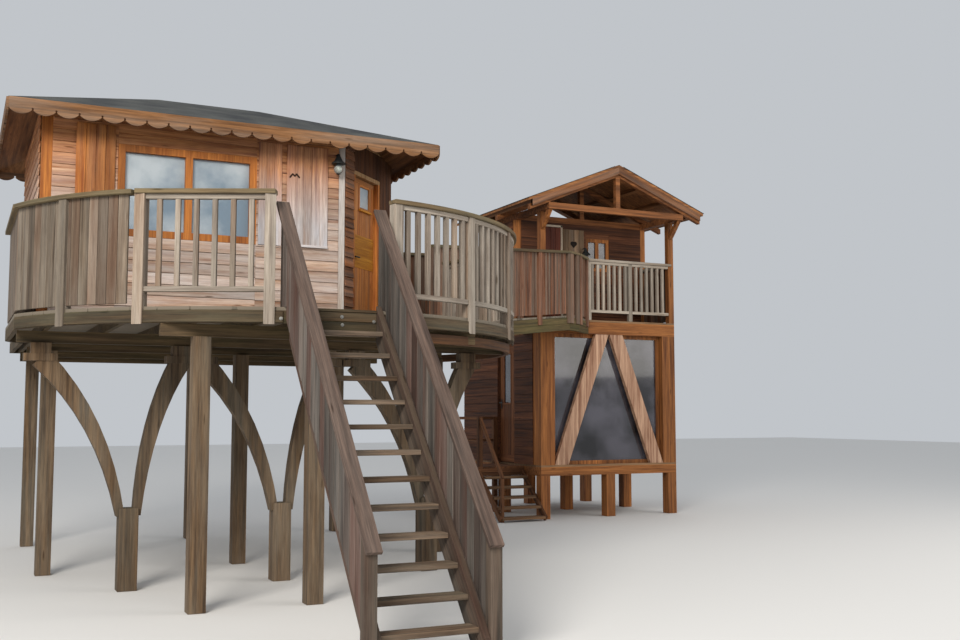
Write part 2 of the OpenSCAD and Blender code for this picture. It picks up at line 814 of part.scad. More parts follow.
module cabin_frame()
    color("peru")
        site() {
            intersection() {
                union() {
                    for (p = [[cabin_x0, front_y], [cabin_x0, cabin_back - corner_post_w],
                              [cabin_x1 - corner_post_w, cabin_back - corner_post_w]])
                        translate([p[0], p[1], deck_z])
                            cube([corner_post_w, corner_post_w, raw_wall_h]);
                    translate([corner_x, front_y, deck_z])
                        linear_extrude(raw_wall_h)
                            polygon([[-corner_post_w, 0], [0, 0], [mitre, mitre], [0, 2 * mitre],
                                     [-corner_post_w, 2 * mitre]]);
                    translate([cabin_x1, front_y + corner_cut, deck_z])
                        linear_extrude(raw_wall_h)
                            polygon([[0, corner_post_w], [0, 0], [-mitre, -mitre], [-2 * mitre, 0],
                                     [-2 * mitre, corner_post_w]]);
                }
                under_hip(deck_z, hip_drop + seat);
            }
            diagonal() {
                translate([door_x0 - door_frame_w, -10, 0])
                    cube([door_frame_w, wall_t + 10, doorway_h]);
                union() {
                    translate([door_x1, -10, 0])
                        cube([door_frame_w, wall_t + 10, doorway_h]);
                    translate([door_x0, 0, 0])
                        hinge_seats(door_w, wall_t);
                }
            }
        }

module cabin_window_frame()
    color("orange")
        site() {
            difference() {
                translate([window_x0, front_y - 20, sill_z])
                    cube([window_w, wall_t + 10, window_h]);
                for (i = [0, 1])
                    translate([window_x0 + window_frame_w + i * (window_w - window_frame_w) / 2,
                               front_y - 21, sill_z + window_frame_w])
                        cube([(window_w - 3 * window_frame_w) / 2, wall_t + 12,
                              window_h - 2 * window_frame_w]);
            }
        }

module cabin_window_glass()
    color("lightblue")
        site()
            for (i = [0, 1])
                translate([window_x0 + window_frame_w + i * (window_w - window_frame_w) / 2,
                           front_y + 30, sill_z + window_frame_w])
                    cube([(window_w - 3 * window_frame_w) / 2, glass_t,
                          window_h - 2 * window_frame_w]);

shutter_x1 = corner_x - corner_post_w - 105;
shutter_gap = 60;

module cabin_shutters()
    color("lightgray")
        site() {
            translate([shutter_x1 - shutter_w, front_y - shutter_t, sill_z])
                cube([shutter_w, shutter_t, shutter_h]);
            translate([window_x0 + window_w + 20, front_y - shutter_t, sill_z])
                cube([shutter_x1 - shutter_w - shutter_gap - window_x0 - window_w - 20,
                      shutter_t, shutter_h]);
        }

// A door leaf in its wall's frame: x to the right seen from outside, y inwards, z from
// the floor, with the doorway's left side at x = 0 and the hinges on its inner right edge
module leaf(w, thick, pane)
    union() {
        difference() {
            translate([door_gap, thick - door_t, door_gap])
                cube([w, door_t, door_h]);
            translate([door_gap + pane[0], thick - door_t - 1, door_gap + pane[1]])
                cube([pane[2], door_t + 2, pane[3]]);
        }
        for (z = hinge_heights)
            translate([door_gap + w + pin_in, thick + pin_out, z + pin_play])
                union() {
                    cylinder(h = knuckle_h, r = knuckle_r);
                    translate([-strap_len, -pin_out - 1, 0])
                        cube([strap_len, strap_t + 1, knuckle_h]);
                }
    }

// The half of each hinge that is fixed to the door post
module hinge_seats(w, thick)
    for (z = hinge_heights)
        translate([door_gap + w + pin_in, thick + pin_out, z - knuckle_h])
            union() {
                cylinder(h = knuckle_h, r = knuckle_r);
                translate([pin_in, -pin_out - 1, 0])
                    cube([door_gap + 25, strap_t + 1, knuckle_h]);
            }

module leaf_pane(thick, pane)
    translate([door_gap + pane[0], thick - (door_t + glass_t) / 2, door_gap + pane[1]])
        cube([pane[2], glass_t, pane[3]]);

module cabin_door()
    color("orange")
        site()
            diagonal()
                translate([door_x0, 0, 0])
                    leaf(door_w, wall_t, cabin_pane);

module cabin_door_pane()
    color("lightblue")
        site()
            diagonal()
                translate([door_x0, 0, 0])
                    leaf_pane(wall_t, cabin_pane);

// A fascia board with a scalloped lower edge, its length along X from the origin
module scalloped_board(len, broken) {
    n = round(len / scallop_pitch);
    pitch = len / n;
    lobe = pitch - notch_w;
    sag = scallop_drop - 10;
    r = (lobe * lobe / 4 + sag * sag) / (2 * sag);
    translate([0, fascia_t, 0])
        rotate([90, 0, 0])
            linear_extrude(fascia_t)
                difference() {
                    union() {
                        translate([0, -fascia_h])
                            square([len, fascia_h]);
                        for (i = [0:n - 1])
                            intersection() {
                                translate([i * pitch + notch_w / 2, -fascia_h - scallop_drop - 1])
                                    square([lobe, (i == broken ? scallop_drop - 20 : 0) + 1 + scallop_drop + 5]);
                                translate([(i + 0.5) * pitch, -fascia_h - scallop_drop + r])
                                    circle(r = r, $fn = ring_fn);
                                if (i == broken)
                                    translate([i * pitch, -fascia_h - 22])
                                        square([pitch, 40]);
                            }
                    }
                    for (i = [1:n - 1])
                        translate([i * pitch, -fascia_h + 3])
                            circle(r = notch_r, $fn = 24);
                }
}

module cabin_fascia()
    color("burlywood")
        site()
            translate([0, 0, eave_z]) {
                translate([hip_x0, hip_y0 - fascia_t, 0])
                    scalloped_board(hip_x1 - hip_x0, 14);
                translate([hip_x0, hip_y1, 0])
                    scalloped_board(hip_x1 - hip_x0, -1);
                translate([hip_x1 + fascia_t, hip_y0, 0])
                    rotate(90)
                        scalloped_board(hip_y1 - hip_y0, -1);
                translate([hip_x0, hip_y0, 0])
                    rotate(90)
                        scalloped_board(hip_y1 - hip_y0, -1);
            }

// A wall lantern: back plate, arm, bell top and glass body, its plate on y = 0
module lantern()
    union() {
        translate([-30, -15, 60])
            cube([60, 15, 130]);
        translate([-9, -110, 150])
            cube([18, 100, 16]);
        translate([0, -110, 40])
            cylinder(h = 120, r1 = 85, r2 = 15);
        translate([0, -110, -90])
            cylinder(h = 131, r = 55);
    }

module wall_lanterns()
    color("darkslategray")
        site() {
            translate([corner_x - corner_post_w, front_y, deck_z + door_h + 10])
                lantern();
            translate([lodge_x + lodge_w / 2, lodge_y + balcony_d, up_floor_z + upper_h * 2 / 3])
                lantern();
        }

// The walkway's own frame: x along its near side, y across it, z from its foot
module walkway()
    translate([walk_start[0], walk_start[1], walk_z0])
        rotate(walk_angle)
            children();

// An outline in X and Z that follows the walkway's slope between two heights
module slope_outline(x0, x1, z0, z1)
    polygon([[x0, x0 * walk_rise / walk_len + z0], [x1, x1 * walk_rise / walk_len + z0],
             [x1, x1 * walk_rise / walk_len + z1], [x0, x0 * walk_rise / walk_len + z1]]);

// Where the walkway's far side comes clear of the cabin
far_x0 = (cabin_x1 + 8 - walk_start[0] + (walk_w + 38) * sin(walk_angle)) / cos(walk_angle);

// The level stretch between the walkway's end and the lodge
module turn_outline()
    polygon([near_end, near_bend, [turn_x, lodge_y], [lodge_x, lodge_y], [lodge_x, far_y], far_end]);

// The cabin's plan with a little room round it
module cabin_plan(room)
    polygon([[cabin_x0 - room, front_y - room], [corner_x + room / 2, front_y - room],
             [cabin_x1 + room, front_y + corner_cut - room / 2], [cabin_x1 + room, cabin_back + room],
             [cabin_x0 - room, cabin_back + room]]);

module walkway_floor()
    color("tan")
        site() {
            difference() {
                walkway()
                    front_plate(0, walk_w)
                        slope_outline(0, walk_len - joint_gap, -board_t, 0);
                translate([0, 0, deck_z])
                    linear_extrude(rail_h)
                        cabin_plan(6);
            }
            translate([0, 0, up_floor_z - board_t])
                linear_extrude(board_t)
                    turn_outline();
        }

// One of the walkway's edge beams, from x0, lying flat on the deck up to x1
module walkway_beam(y, x0, x1)
    front_plate(y + 0.5, walk_beam_t - 1)
        polygon([[x0, x0 * walk_rise / walk_len - board_t], [x0, -walk_step], [x1, -walk_step],
                 [walk_len + 5, walk_rise - walk_step + 2], [walk_len + 5, walk_rise - board_t - 1]]);

// A strip of a given width along the left of the line from p to q
module strip(p, q, t) {
    d = (q - p) / norm(q - p);
    polygon([p, q, q + t * [-d[1], d[0]], p + t * [-d[1], d[0]]]);
}

module walkway_frame()
    color("olive")
        site()
            union() {
                walkway() {
                    walkway_beam(0, 0, walk_lap);
                    walkway_beam(walk_w - walk_beam_t, far_x0, far_x0 + 90);
                }
                translate([0, 0, up_floor_z - walk_step])
                    linear_extrude(walk_step - board_t)
                        intersection() {
                            turn_outline();
                            union() {
                                strip(near_end, near_bend, walk_beam_t);
                                strip(near_bend, [turn_x, lodge_y], walk_beam_t);
                                strip([lodge_x, far_y], far_end, walk_beam_t);
                                strip(far_end, near_end, walk_beam_t);
                            }
                        }
            }

walk_post_n = 4;

// A closed railing on the walkway's slope, its posts outside the beam. It is drawn as the
// near one; the far one is its mirror image.
module slope_railing(x0) {
    front_plate(-1, rail_board_t)
        slope_outline(x0, walk_len, board_gap, rail_h - cap_t + 1);
    front_plate(rail_board_t / 2 - cap_w / 2, cap_w)
        slope_outline(x0, walk_len, rail_h - cap_t, rail_h);
    for (i = [0:walk_post_n]) {
        x = x0 + rail_post_w / 2 + i * (walk_len - rail_post_w - x0) / walk_post_n;
        front_plate(-rail_post_t, rail_post_t)
            slope_outline(x - rail_post_w / 2, x + rail_post_w / 2, -board_t - 90,
                          rail_h - cap_t + 2);
    }
}

// A closed level railing from p to q on the upper floor, its posts on its right side
module level_railing(p, q)
    towards(p, q, up_floor_z) {
        len = norm(q - p);
        bar_x(0, len, rail_board_t / 2 - 1, rail_board_t, board_gap, rail_h - cap_t + 1);
        bar_x(0, len, rail_board_t / 2, cap_w, rail_h - cap_t, rail_h);
        for (x = [0, len - rail_post_w])
            translate([x, -rail_post_t, -board_t - 90])
                cube([rail_post_w, rail_post_t, rail_h - cap_t + 2 + board_t + 90]);
    }

module walkway_railing_near()
    color("rosybrown")
        site() {
            walkway()
                slope_railing(0);
            level_railing(near_end + 2 * walk_dir, near_bend - 25 * walk_dir);
            level_railing(near_bend + 25 * [cos(45), sin(45)], [turn_x - 45, lodge_y - 45]);
        }

module walkway_railing_far()
    color("rosybrown")
        site()
            walkway()
                translate([0, walk_w, 0])
                    mirror([0, 1, 0])
                        slope_railing(far_x0);

// Draws what follows on the lodge's left side, and mirrored on its right side
module both_sides()
    for (side = [0, 1])
        translate([side * 2 * lodge_cx, 0, 0])
            mirror([side, 0, 0])
                children();

module lodge_posts()
    color("chocolate")
        site() {
            for (x = [lodge_x, lodge_cx - stub_w / 2, lodge_x1 - stub_w])
                for (y = [lodge_y, mid_row_lodge, lodge_y1 - stub_w])
                    translate([x, y, 0])
                        cube([stub_w, stub_w, sill_bottom]);
            for (x = [lodge_x, lodge_x1 - lodge_post_w])
                translate([x, lodge_y, low_floor_z])
                    cube([lodge_post_w, lodge_post_w, low_wall_h]);
            both_sides() {
                union() {
                    translate([lodge_x, lodge_y, up_floor_z])
                        cube([upper_post_w, upper_post_w, upper_h]);
                    side_plate(lodge_x + 15, upper_post_w - 30)
                        polygon([[lodge_y + 1, plate_z - 300], [lodge_y + 1, plate_z - 210],
                                 [lodge_y - 190, plate_z], [lodge_y - 275, plate_z]]);
                }
                for (y = [room_y, upper_y1 - upper_post_w])
                    translate([lodge_x, y, up_floor_z])
                        cube([upper_post_w, upper_post_w, upper_h]);
            }
        }

// A level frame of beams round a plan rectangle, with cross beams at given depths
module beam_frame(y0, y1, w, z0, z1, cross)
    translate([0, 0, z0])
        linear_extrude(z1 - z0)
            union() {
                difference() {
                    translate([lodge_x, y0])
                        square([lodge_w, y1 - y0]);
                    translate([lodge_x + w, y0 + w])
                        square([lodge_w - 2 * w, y1 - y0 - 2 * w]);
                }
                for (y = cross)
                    translate([lodge_x + w / 2, y])
                        square([lodge_w - w, w]);
            }

module lodge_beams()
    color("peru")
        site() {
            beam_frame(lodge_y, lodge_y1, stub_w, sill_bottom, sill_top, [mid_row_lodge]);
            beam_frame(lodge_y, upper_y1, 110, beam_bottom, beam_top, [room_y, lodge_y + upper_d * 2 / 3]);
        }

module lodge_floors()
    color("tan")
        site() {
            translate([lodge_x, lodge_y, sill_top])
                cube([lodge_w, lodge_d, board_t]);
            translate([lodge_x, lodge_y, beam_top])
                cube([lodge_w, upper_d, board_t]);
        }

// The lower room's outline seen from the side, its rear top edge rounded
module room_outline(inset) {
    translate([lodge_y, low_floor_z])
        square([upper_d + 2, low_wall_h]);
    intersection() {
        translate([upper_y1 + seat, low_floor_z])
            square([lodge_y1 - upper_y1 - seat - inset, shell_top - inset - low_floor_z]);
        union() {
            translate([lodge_y1 - round_r, shell_top - round_r])
                circle(r = round_r - inset, $fn = ring_fn);
            translate([lodge_y, low_floor_z])
                square([lodge_d - inset, shell_top - round_r - low_floor_z]);
            translate([lodge_y, low_floor_z])
                square([lodge_d - round_r, shell_top - inset - low_floor_z]);
        }
    }
}

// A part of a side wall of the lower room, between two depths, thick from x
module room_side(x, y0, y1)
    side_plate(x, lodge_wall_t)
        intersection() {
            room_outline(0);
            translate([y0, 0])
                square([y1 - y0, shell_top + 100]);
        }

right_window = [lodge_y + 900, 1000, low_floor_z + 1000, 800];

module lodge_lower_walls()
    color("sienna")
        site() {
            union() {
                room_side(lodge_x, lodge_y + lodge_post_w, lodge_door_y0);
                lodge_doorway()
                    hinge_seats(lodge_door_w, lodge_wall_t);
            }
            room_side(lodge_x, lodge_door_y1, lodge_y1 + 1);
            difference() {
                room_side(lodge_x1 - lodge_wall_t, lodge_y + lodge_post_w, lodge_y1 + 1);
                translate([lodge_x1 - lodge_wall_t - 1, right_window[0], right_window[2]])
                    cube([lodge_wall_t + 2, right_window[1], right_window[3]]);
            }
            side_plate(lodge_x + lodge_wall_t + 1, lodge_w - 2 * lodge_wall_t - 2)
                intersection() {
                    difference() {
                        room_outline(0);
                        translate([0, -1])
                            room_outline(lodge_wall_t);
                        translate([0, -100])
                            room_outline(lodge_wall_t);
                    }
                    translate([upper_y1 + seat, 0])
                        square([lodge_d, shell_top + 100]);
                }
        }

// A window frame in a wall seen from the front, with its bars
module front_frame(x0, z0, w, h, y, t, bars)
    front_plate(y, t)
        difference() {
            translate([x0, z0])
                square([w, h]);
            for (i = [0:bars])
                translate([x0 + frame_w + i * (w - frame_w) / (bars + 1), z0 + frame_w])
                    square([(w - frame_w) / (bars + 1) - frame_w, h - 2 * frame_w]);
        }

// The panes of such a frame
module front_panes(x0, z0, w, h, y, bars)
    for (i = [0:bars])
        translate([x0 + frame_w + i * (w - frame_w) / (bars + 1), y, z0 + frame_w])
            cube([(w - frame_w) / (bars + 1) - frame_w, glass_t, h - 2 * frame_w]);

front_glass = [lodge_x + lodge_post_w, low_floor_z, lodge_w - 2 * lodge_post_w, low_wall_h];
upper_window = [lodge_x + up_window_x, up_floor_z + up_window_sill, up_window_w, up_window_h];
up_door = [lodge_x + 460, up_floor_z, 400, 1660];

module lodge_frames()
    color("peru")
        site() {
            front_frame(front_glass[0], front_glass[1], front_glass[2], front_glass[3],
                        lodge_y + 100, 60, 0);
            front_frame(upper_window[0], upper_window[1], upper_window[2], upper_window[3],
                        room_y + 5, 60, 1);
            translate([up_door[0], room_y + 10, up_door[1]])
                cube([up_door[2], 50, up_door[3]]);
            side_plate(lodge_x1 - lodge_wall_t + 10, lodge_wall_t - 20)
                difference() {
                    translate([right_window[0], right_window[2]])
                        square([right_window[1], right_window[3]]);
                    for (i = [0, 1])
                        translate([right_window[0] + frame_w + i * (right_window[1] - frame_w) / 2,
                                   right_window[2] + frame_w])
                            square([(right_window[1] - 3 * frame_w) / 2,
                                    right_window[3] - 2 * frame_w]);
                }
        }

module lodge_glazing()
    color("lightblue")
        site() {
            front_panes(front_glass[0], front_glass[1], front_glass[2], front_glass[3],
                        lodge_y + 128, 0);
            front_panes(upper_window[0], upper_window[1], upper_window[2], upper_window[3],
                        room_y + 32, 1);
            for (i = [0, 1])
                translate([lodge_x1 - lodge_wall_t / 2,
                           right_window[0] + frame_w + i * (right_window[1] - frame_w) / 2,
                           right_window[2] + frame_w])
                    cube([glass_t, (right_window[1] - 3 * frame_w) / 2,
                          right_window[3] - 2 * frame_w]);
        }

module lodge_braces()
    color("peru")
        site()
            both_sides()
                front_plate(lodge_y + 10, 75)
                    polygon([[lodge_x + lodge_post_w + 5, low_floor_z],
                             [lodge_x + lodge_post_w + 5 + brace_w, low_floor_z],
                             [lodge_cx - 10, beam_bottom], [lodge_cx - 10 - brace_w, beam_bottom]]);

module lodge_door()
    color("sienna")
        site()
            lodge_doorway()
                leaf(lodge_door_w, lodge_wall_t, lodge_pane);

module lodge_door_pane()
    color("lightblue")
        site()
            lodge_doorway()
                leaf_pane(lodge_wall_t, lodge_pane);

landing_x0 = lodge_x - landing_d;
landing_post_w = 80;
landing_top = landing_z + landing_rail_h;

module lodge_landing()
    color("olive")
        site()
            union() {
                translate([landing_x0, landing_y0, landing_z - board_t])
                    cube([landing_d, landing_w, board_t]);
                translate([0, 0, landing_z - board_t - 120])
                    linear_extrude(121)
                        difference() {
                            translate([landing_x0, landing_y0])
                                square([landing_d, landing_w]);
                            translate([landing_x0 + 45, landing_y0 + 45])
                                square([landing_d - 90, landing_w - 90]);
                        }
                for (p = [[landing_x0 + 45, landing_y1 - 45], [landing_x0 + 45, landing_y0 + 45],
                          [lodge_x - 60, landing_y1 - 45]])
                    post(p, landing_post_w, 0, landing_top);
                for (z = [landing_top - 45, landing_z + 380])
                    translate([landing_x0 + 25, landing_y0 + 20, z])
                        cube([40, landing_w - 40, 46]);
                for (z = [landing_top - 45, landing_z + 380])
                    translate([landing_x0 + 20, landing_y1 - 65, z])
                        cube([landing_d - 20, 40, 46]);
                for (x = [step_x0, step_x0 + step_w - 40])
                    side_plate(x, 40)
                        polygon([[landing_y0 + 10, landing_z - board_t - 10],
                                 [landing_y0 + 10, landing_z - board_t - 110],
                                 [step_foot + 160, 0], [step_foot, 0], [step_foot, 60],
                                 [landing_y0 - 40, landing_z - 60]]);
                side_plate(landing_x0 + 25, 40)
                    polygon([[landing_y0 + 20, landing_top - 60], [landing_y0 + 20, landing_top],
                             [step_foot + 60, 700], [step_foot + 60, 640]]);
            }

step_x0 = landing_x0 - 10;
step_w = landing_d;
step_foot = landing_y0 - (lodge_treads + 0.6) * lodge_going;

module lodge_steps()
    color("burlywood")
        site() {
            for (i = [1:lodge_treads])
                translate([step_x0 + 40, landing_y0 - i * lodge_going - 60,
                           landing_z - i * lodge_riser - tread_t])
                    cube([step_w - 80, lodge_going + 40, tread_t]);
        }

module lodge_upper_walls()
    color("sienna")
        site() {
            front_plate(room_y, 70)
                difference() {
                    translate([lodge_x + upper_post_w, up_floor_z])
                        square([lodge_w - 2 * upper_post_w, upper_h]);
                    translate([upper_window[0], upper_window[1]])
                        square([upper_window[2], upper_window[3]]);
                    translate([up_door[0], up_door[1] - 1])
                        square([up_door[2], up_door[3] + 1]);
                }
            front_plate(upper_y1 - upper_post_w, 70)
                translate([lodge_x + upper_post_w, up_floor_z])
                    square([lodge_w - 2 * upper_post_w, upper_h]);
            for (x = [lodge_x, lodge_x1 - 70])
                translate([x, room_y + upper_post_w, up_floor_z])
                    cube([70, upper_d - balcony_d - 2 * upper_post_w, upper_h]);
        }

module balcony_railing()
    color("rosybrown")
        site() {
            translate([turn_x + 10, lodge_y + 40, up_floor_z])
                union() {
                    open_railing(lodge_x1 - upper_post_w - seat - turn_x - 10, 105);
                    for (x = [0, 0.5 * (lodge_x1 - upper_post_w - turn_x - 10)])
                        translate([x, -30, seat])
                            cube([70, 60, rail_h - cap_t]);
                }
            for (side = [0, 1])
                translate([side * 2 * lodge_cx, 0, 0])
                    mirror([side, 0, 0]) {
                        y0 = (side == 0 ? far_y + 60 : lodge_y + upper_post_w) + seat;
                        length = room_y - y0 - seat;
                        union() {
                            translate([lodge_x + 20, y0, up_floor_z + board_gap])
                                cube([rail_board_t, length, rail_h - cap_t - board_gap + 1]);
                            translate([lodge_x, y0, up_floor_z + rail_h - cap_t])
                                cube([cap_w - 10, length, cap_t]);
                        }
                    }
        }

// A chevron under the roof's line between two drops
module chevron(half, drop, thick)
    polygon([[lodge_cx - half, ridge_z - drop - half * tan(gable_pitch)], [lodge_cx, ridge_z - drop],
             [lodge_cx + half, ridge_z - drop - half * tan(gable_pitch)],
             [lodge_cx + half, ridge_z - drop - thick - half * tan(gable_pitch)],
             [lodge_cx, ridge_z - drop - thick],
             [lodge_cx - half, ridge_z - drop - thick - half * tan(gable_pitch)]]);

// The left one of a pair of rafters, its top drop below the roof's line
module rafter(half, drop, thick)
    intersection() {
        chevron(half, drop, thick);
        translate([lodge_cx - half - 1, 0])
            square([half + 1 - seat, ridge_z]);
    }

// Side plates on the upper posts, tie beams between them, and on each tie beam a king post
// with its pair of rafters
module lodge_truss()
    color("peru")
        site() {
            for (x = [lodge_x, lodge_x1 - upper_post_w])
                translate([x, lodge_y - lodge_verge + barge_t + seat, plate_z])
                    cube([upper_post_w, upper_d + lodge_verge + rear_verge - 2 * (barge_t + seat), plate_h]);
            for (y = [lodge_y - lodge_verge + barge_t, room_y, upper_y1 - rafter_w]) {
                translate([lodge_x + upper_post_w + seat, y + seat, plate_z + seat])
                    cube([lodge_w - 2 * (upper_post_w + seat), rafter_w - 2 * seat, plate_h - seat]);
                both_sides()
                    front_plate(y + seat, rafter_w - 2 * seat)
                        rafter(gable_half - 40, roof_drop + purlin_drop, rafter_drop - seat);
                front_plate(y + seat, rafter_w - 2 * seat)
                    intersection() {
                        translate([lodge_cx - rafter_w / 2, plate_top + seat])
                            square([rafter_w, ridge_z - plate_top]);
                        chevron(gable_half, roof_drop + purlin_drop + rafter_drop, lodge_w);
                    }
            }
        }

purlin_places = [60, 600, 1130, 1700];

module lodge_purlins()
    color("peru")
        site() {
            both_sides() {
                for (s = purlin_places)
                    translate([lodge_cx, lodge_y - lodge_verge + barge_t + seat, ridge_z - roof_drop])
                        rotate([0, -gable_pitch, 0])
                            translate([-s - purlin_w, 0, seat - purlin_w])
                                cube([purlin_w, upper_d + lodge_verge + rear_verge
                                      - 2 * (barge_t + seat), purlin_w - 1.5 * seat]);
                for (y = [lodge_y - lodge_verge, upper_y1 + rear_verge - barge_t])
                    front_plate(y, barge_t)
                        rafter(gable_half - 60, roof_drop + seat, barge_h);
            }
        }

module lodge_roof()
    color("dimgray")
        site()
            front_plate(lodge_y - lodge_verge, upper_d + lodge_verge + rear_verge)
                chevron(gable_half, 0, roof_drop);

deck_posts();
deck_bearers();
deck_frame();
deck_floor();
deck_railing_left();
deck_railing_boarded();
deck_railing_curved();
stair_stringers();
stair_treads();
stair_newels();
stair_railing_left();
stair_railing_right();
cabin_front_wall();
cabin_rear_walls();
cabin_door_wall();
doorway_heads();
cabin_frame();
cabin_window_frame();
cabin_window_glass();
cabin_shutters();
cabin_door();
cabin_door_pane();
cabin_roof();
cabin_fascia();
wall_lanterns();
walkway_floor();
walkway_frame();
walkway_railing_near();
walkway_railing_far();
lodge_posts();
lodge_beams();
lodge_floors();
lodge_lower_walls();
lodge_frames();
lodge_glazing();
lodge_braces();
lodge_door();
lodge_door_pane();
lodge_landing();
lodge_steps();
lodge_upper_walls();
balcony_railing();
lodge_truss();
lodge_purlins();
lodge_roof();
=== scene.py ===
"""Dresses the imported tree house: every timber, board, pane and roof course, in metres."""
import random
from math import acos, atan2, cos, degrees, radians, sin, sqrt, tan

import bpy
from mathutils import Matrix, Vector


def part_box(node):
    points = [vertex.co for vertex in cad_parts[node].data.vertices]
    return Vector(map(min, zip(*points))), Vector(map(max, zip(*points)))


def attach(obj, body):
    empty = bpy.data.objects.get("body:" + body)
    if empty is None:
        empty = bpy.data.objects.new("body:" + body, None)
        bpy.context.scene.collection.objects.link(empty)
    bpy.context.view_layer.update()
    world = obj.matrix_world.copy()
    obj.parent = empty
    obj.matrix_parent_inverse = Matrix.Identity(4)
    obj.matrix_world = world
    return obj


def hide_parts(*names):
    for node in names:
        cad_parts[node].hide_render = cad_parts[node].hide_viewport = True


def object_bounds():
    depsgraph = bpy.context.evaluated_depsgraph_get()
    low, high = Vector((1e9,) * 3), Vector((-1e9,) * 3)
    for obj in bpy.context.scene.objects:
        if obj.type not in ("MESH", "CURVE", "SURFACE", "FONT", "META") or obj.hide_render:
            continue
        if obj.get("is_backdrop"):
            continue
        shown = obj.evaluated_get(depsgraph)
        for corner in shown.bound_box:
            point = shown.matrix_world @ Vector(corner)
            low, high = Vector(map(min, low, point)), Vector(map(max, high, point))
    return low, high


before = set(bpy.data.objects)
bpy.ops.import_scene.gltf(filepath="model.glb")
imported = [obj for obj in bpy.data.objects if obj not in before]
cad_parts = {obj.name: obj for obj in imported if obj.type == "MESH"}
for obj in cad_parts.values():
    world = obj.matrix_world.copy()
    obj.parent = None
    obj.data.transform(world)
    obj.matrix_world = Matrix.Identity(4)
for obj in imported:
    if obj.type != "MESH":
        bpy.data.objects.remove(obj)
cad_low, cad_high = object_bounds()

# The round deck's middle is the point that the whole tree house is set out from. The deck
# boards' box gives its place: it ends at the radius on the right and at the deck's back.
deck_low, deck_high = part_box("deck_floor")
deck_radius, deck_back = 2.750, 3.550
deck_top = deck_high.z
deck_middle = Vector((deck_high.x - deck_radius, deck_high.y - deck_back, 0))
deck_cut = deck_low.x - deck_middle.x


def site(x, y, z=0.0):
    """A point given from the deck's middle at ground level, in the frame's own place."""
    return deck_middle + Vector((x, y, z))


# The camera stands on the ground in front of the stair, at a standing person's eye, and
# looks a little up and to the right. Two soft lamps and an even sky light the object.
eye = bpy.data.cameras.new("eye_level")
eye.lens = 40.9
eye.sensor_width = 36
camera = bpy.data.objects.new("eye_level", eye)
camera.location = site(-3.05, -11.85, 1.70)
camera.rotation_euler = (radians(94.82), 0, radians(-25.7))
bpy.context.scene.collection.objects.link(camera)
bpy.context.scene.camera = camera
bpy.context.scene.view_settings.view_transform = "Standard"

bpy.ops.object.select_all(action="DESELECT")
bpy.ops.mesh.primitive_grid_add(x_subdivisions=8, y_subdivisions=8, size=90, location=(0, 0, -0.002))
studio_floor = bpy.context.object
studio_floor.name = "studio_floor"
studio_floor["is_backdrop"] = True
pale_floor = bpy.data.materials.new("pale_floor")
pale_floor.use_nodes = True
floor_shader = pale_floor.node_tree.nodes["Principled BSDF"]
floor_shader.inputs["Base Color"].default_value = (0.74, 0.73, 0.71, 1)
floor_shader.inputs["Roughness"].default_value = 0.95
studio_floor.data.materials.append(pale_floor)

studio_sky = bpy.data.worlds.new("studio_sky")
studio_sky.use_nodes = True
studio_sky.node_tree.nodes["Background"].inputs["Color"].default_value = (0.86, 0.90, 0.95, 1)
studio_sky.node_tree.nodes["Background"].inputs["Strength"].default_value = 0.62
bpy.context.scene.world = studio_sky

for name, place, aim, width, power in (
        ("key_lamp", site(-9, -13, 11), site(2, 0, 2.5), 6, 2600),
        ("fill_lamp", site(13, -8, 7), site(3, 1, 2.5), 9, 600)):
    lamp = bpy.data.lights.new(name, "AREA")
    lamp.size = width
    lamp.energy = power
    lamp.color = (1.0, 0.95, 0.88)
    lamp_object = bpy.data.objects.new(name, lamp)
    lamp_object.location = place
    lamp_object.rotation_euler = (aim - place).to_track_quat("-Z", "Y").to_euler()
    bpy.context.scene.collection.objects.link(lamp_object)


# The deck stands on round-edged posts and on stumps with raking struts, all of rough
# dark-stained timber. The struts' heads carry corbels and blocks under the bearers.
def paint(red, green, blue):
    """A colour as a painter's card gives it, 0 to 255, made linear for the shader."""
    shares = (((c / 255 + 0.055) / 1.055) ** 2.4 if c > 10 else c / 3294 for c in (red, green, blue))
    return (*shares, 1)


def grey(value):
    """A plain grey, already linear."""
    return (value,) * 3 + (1,)


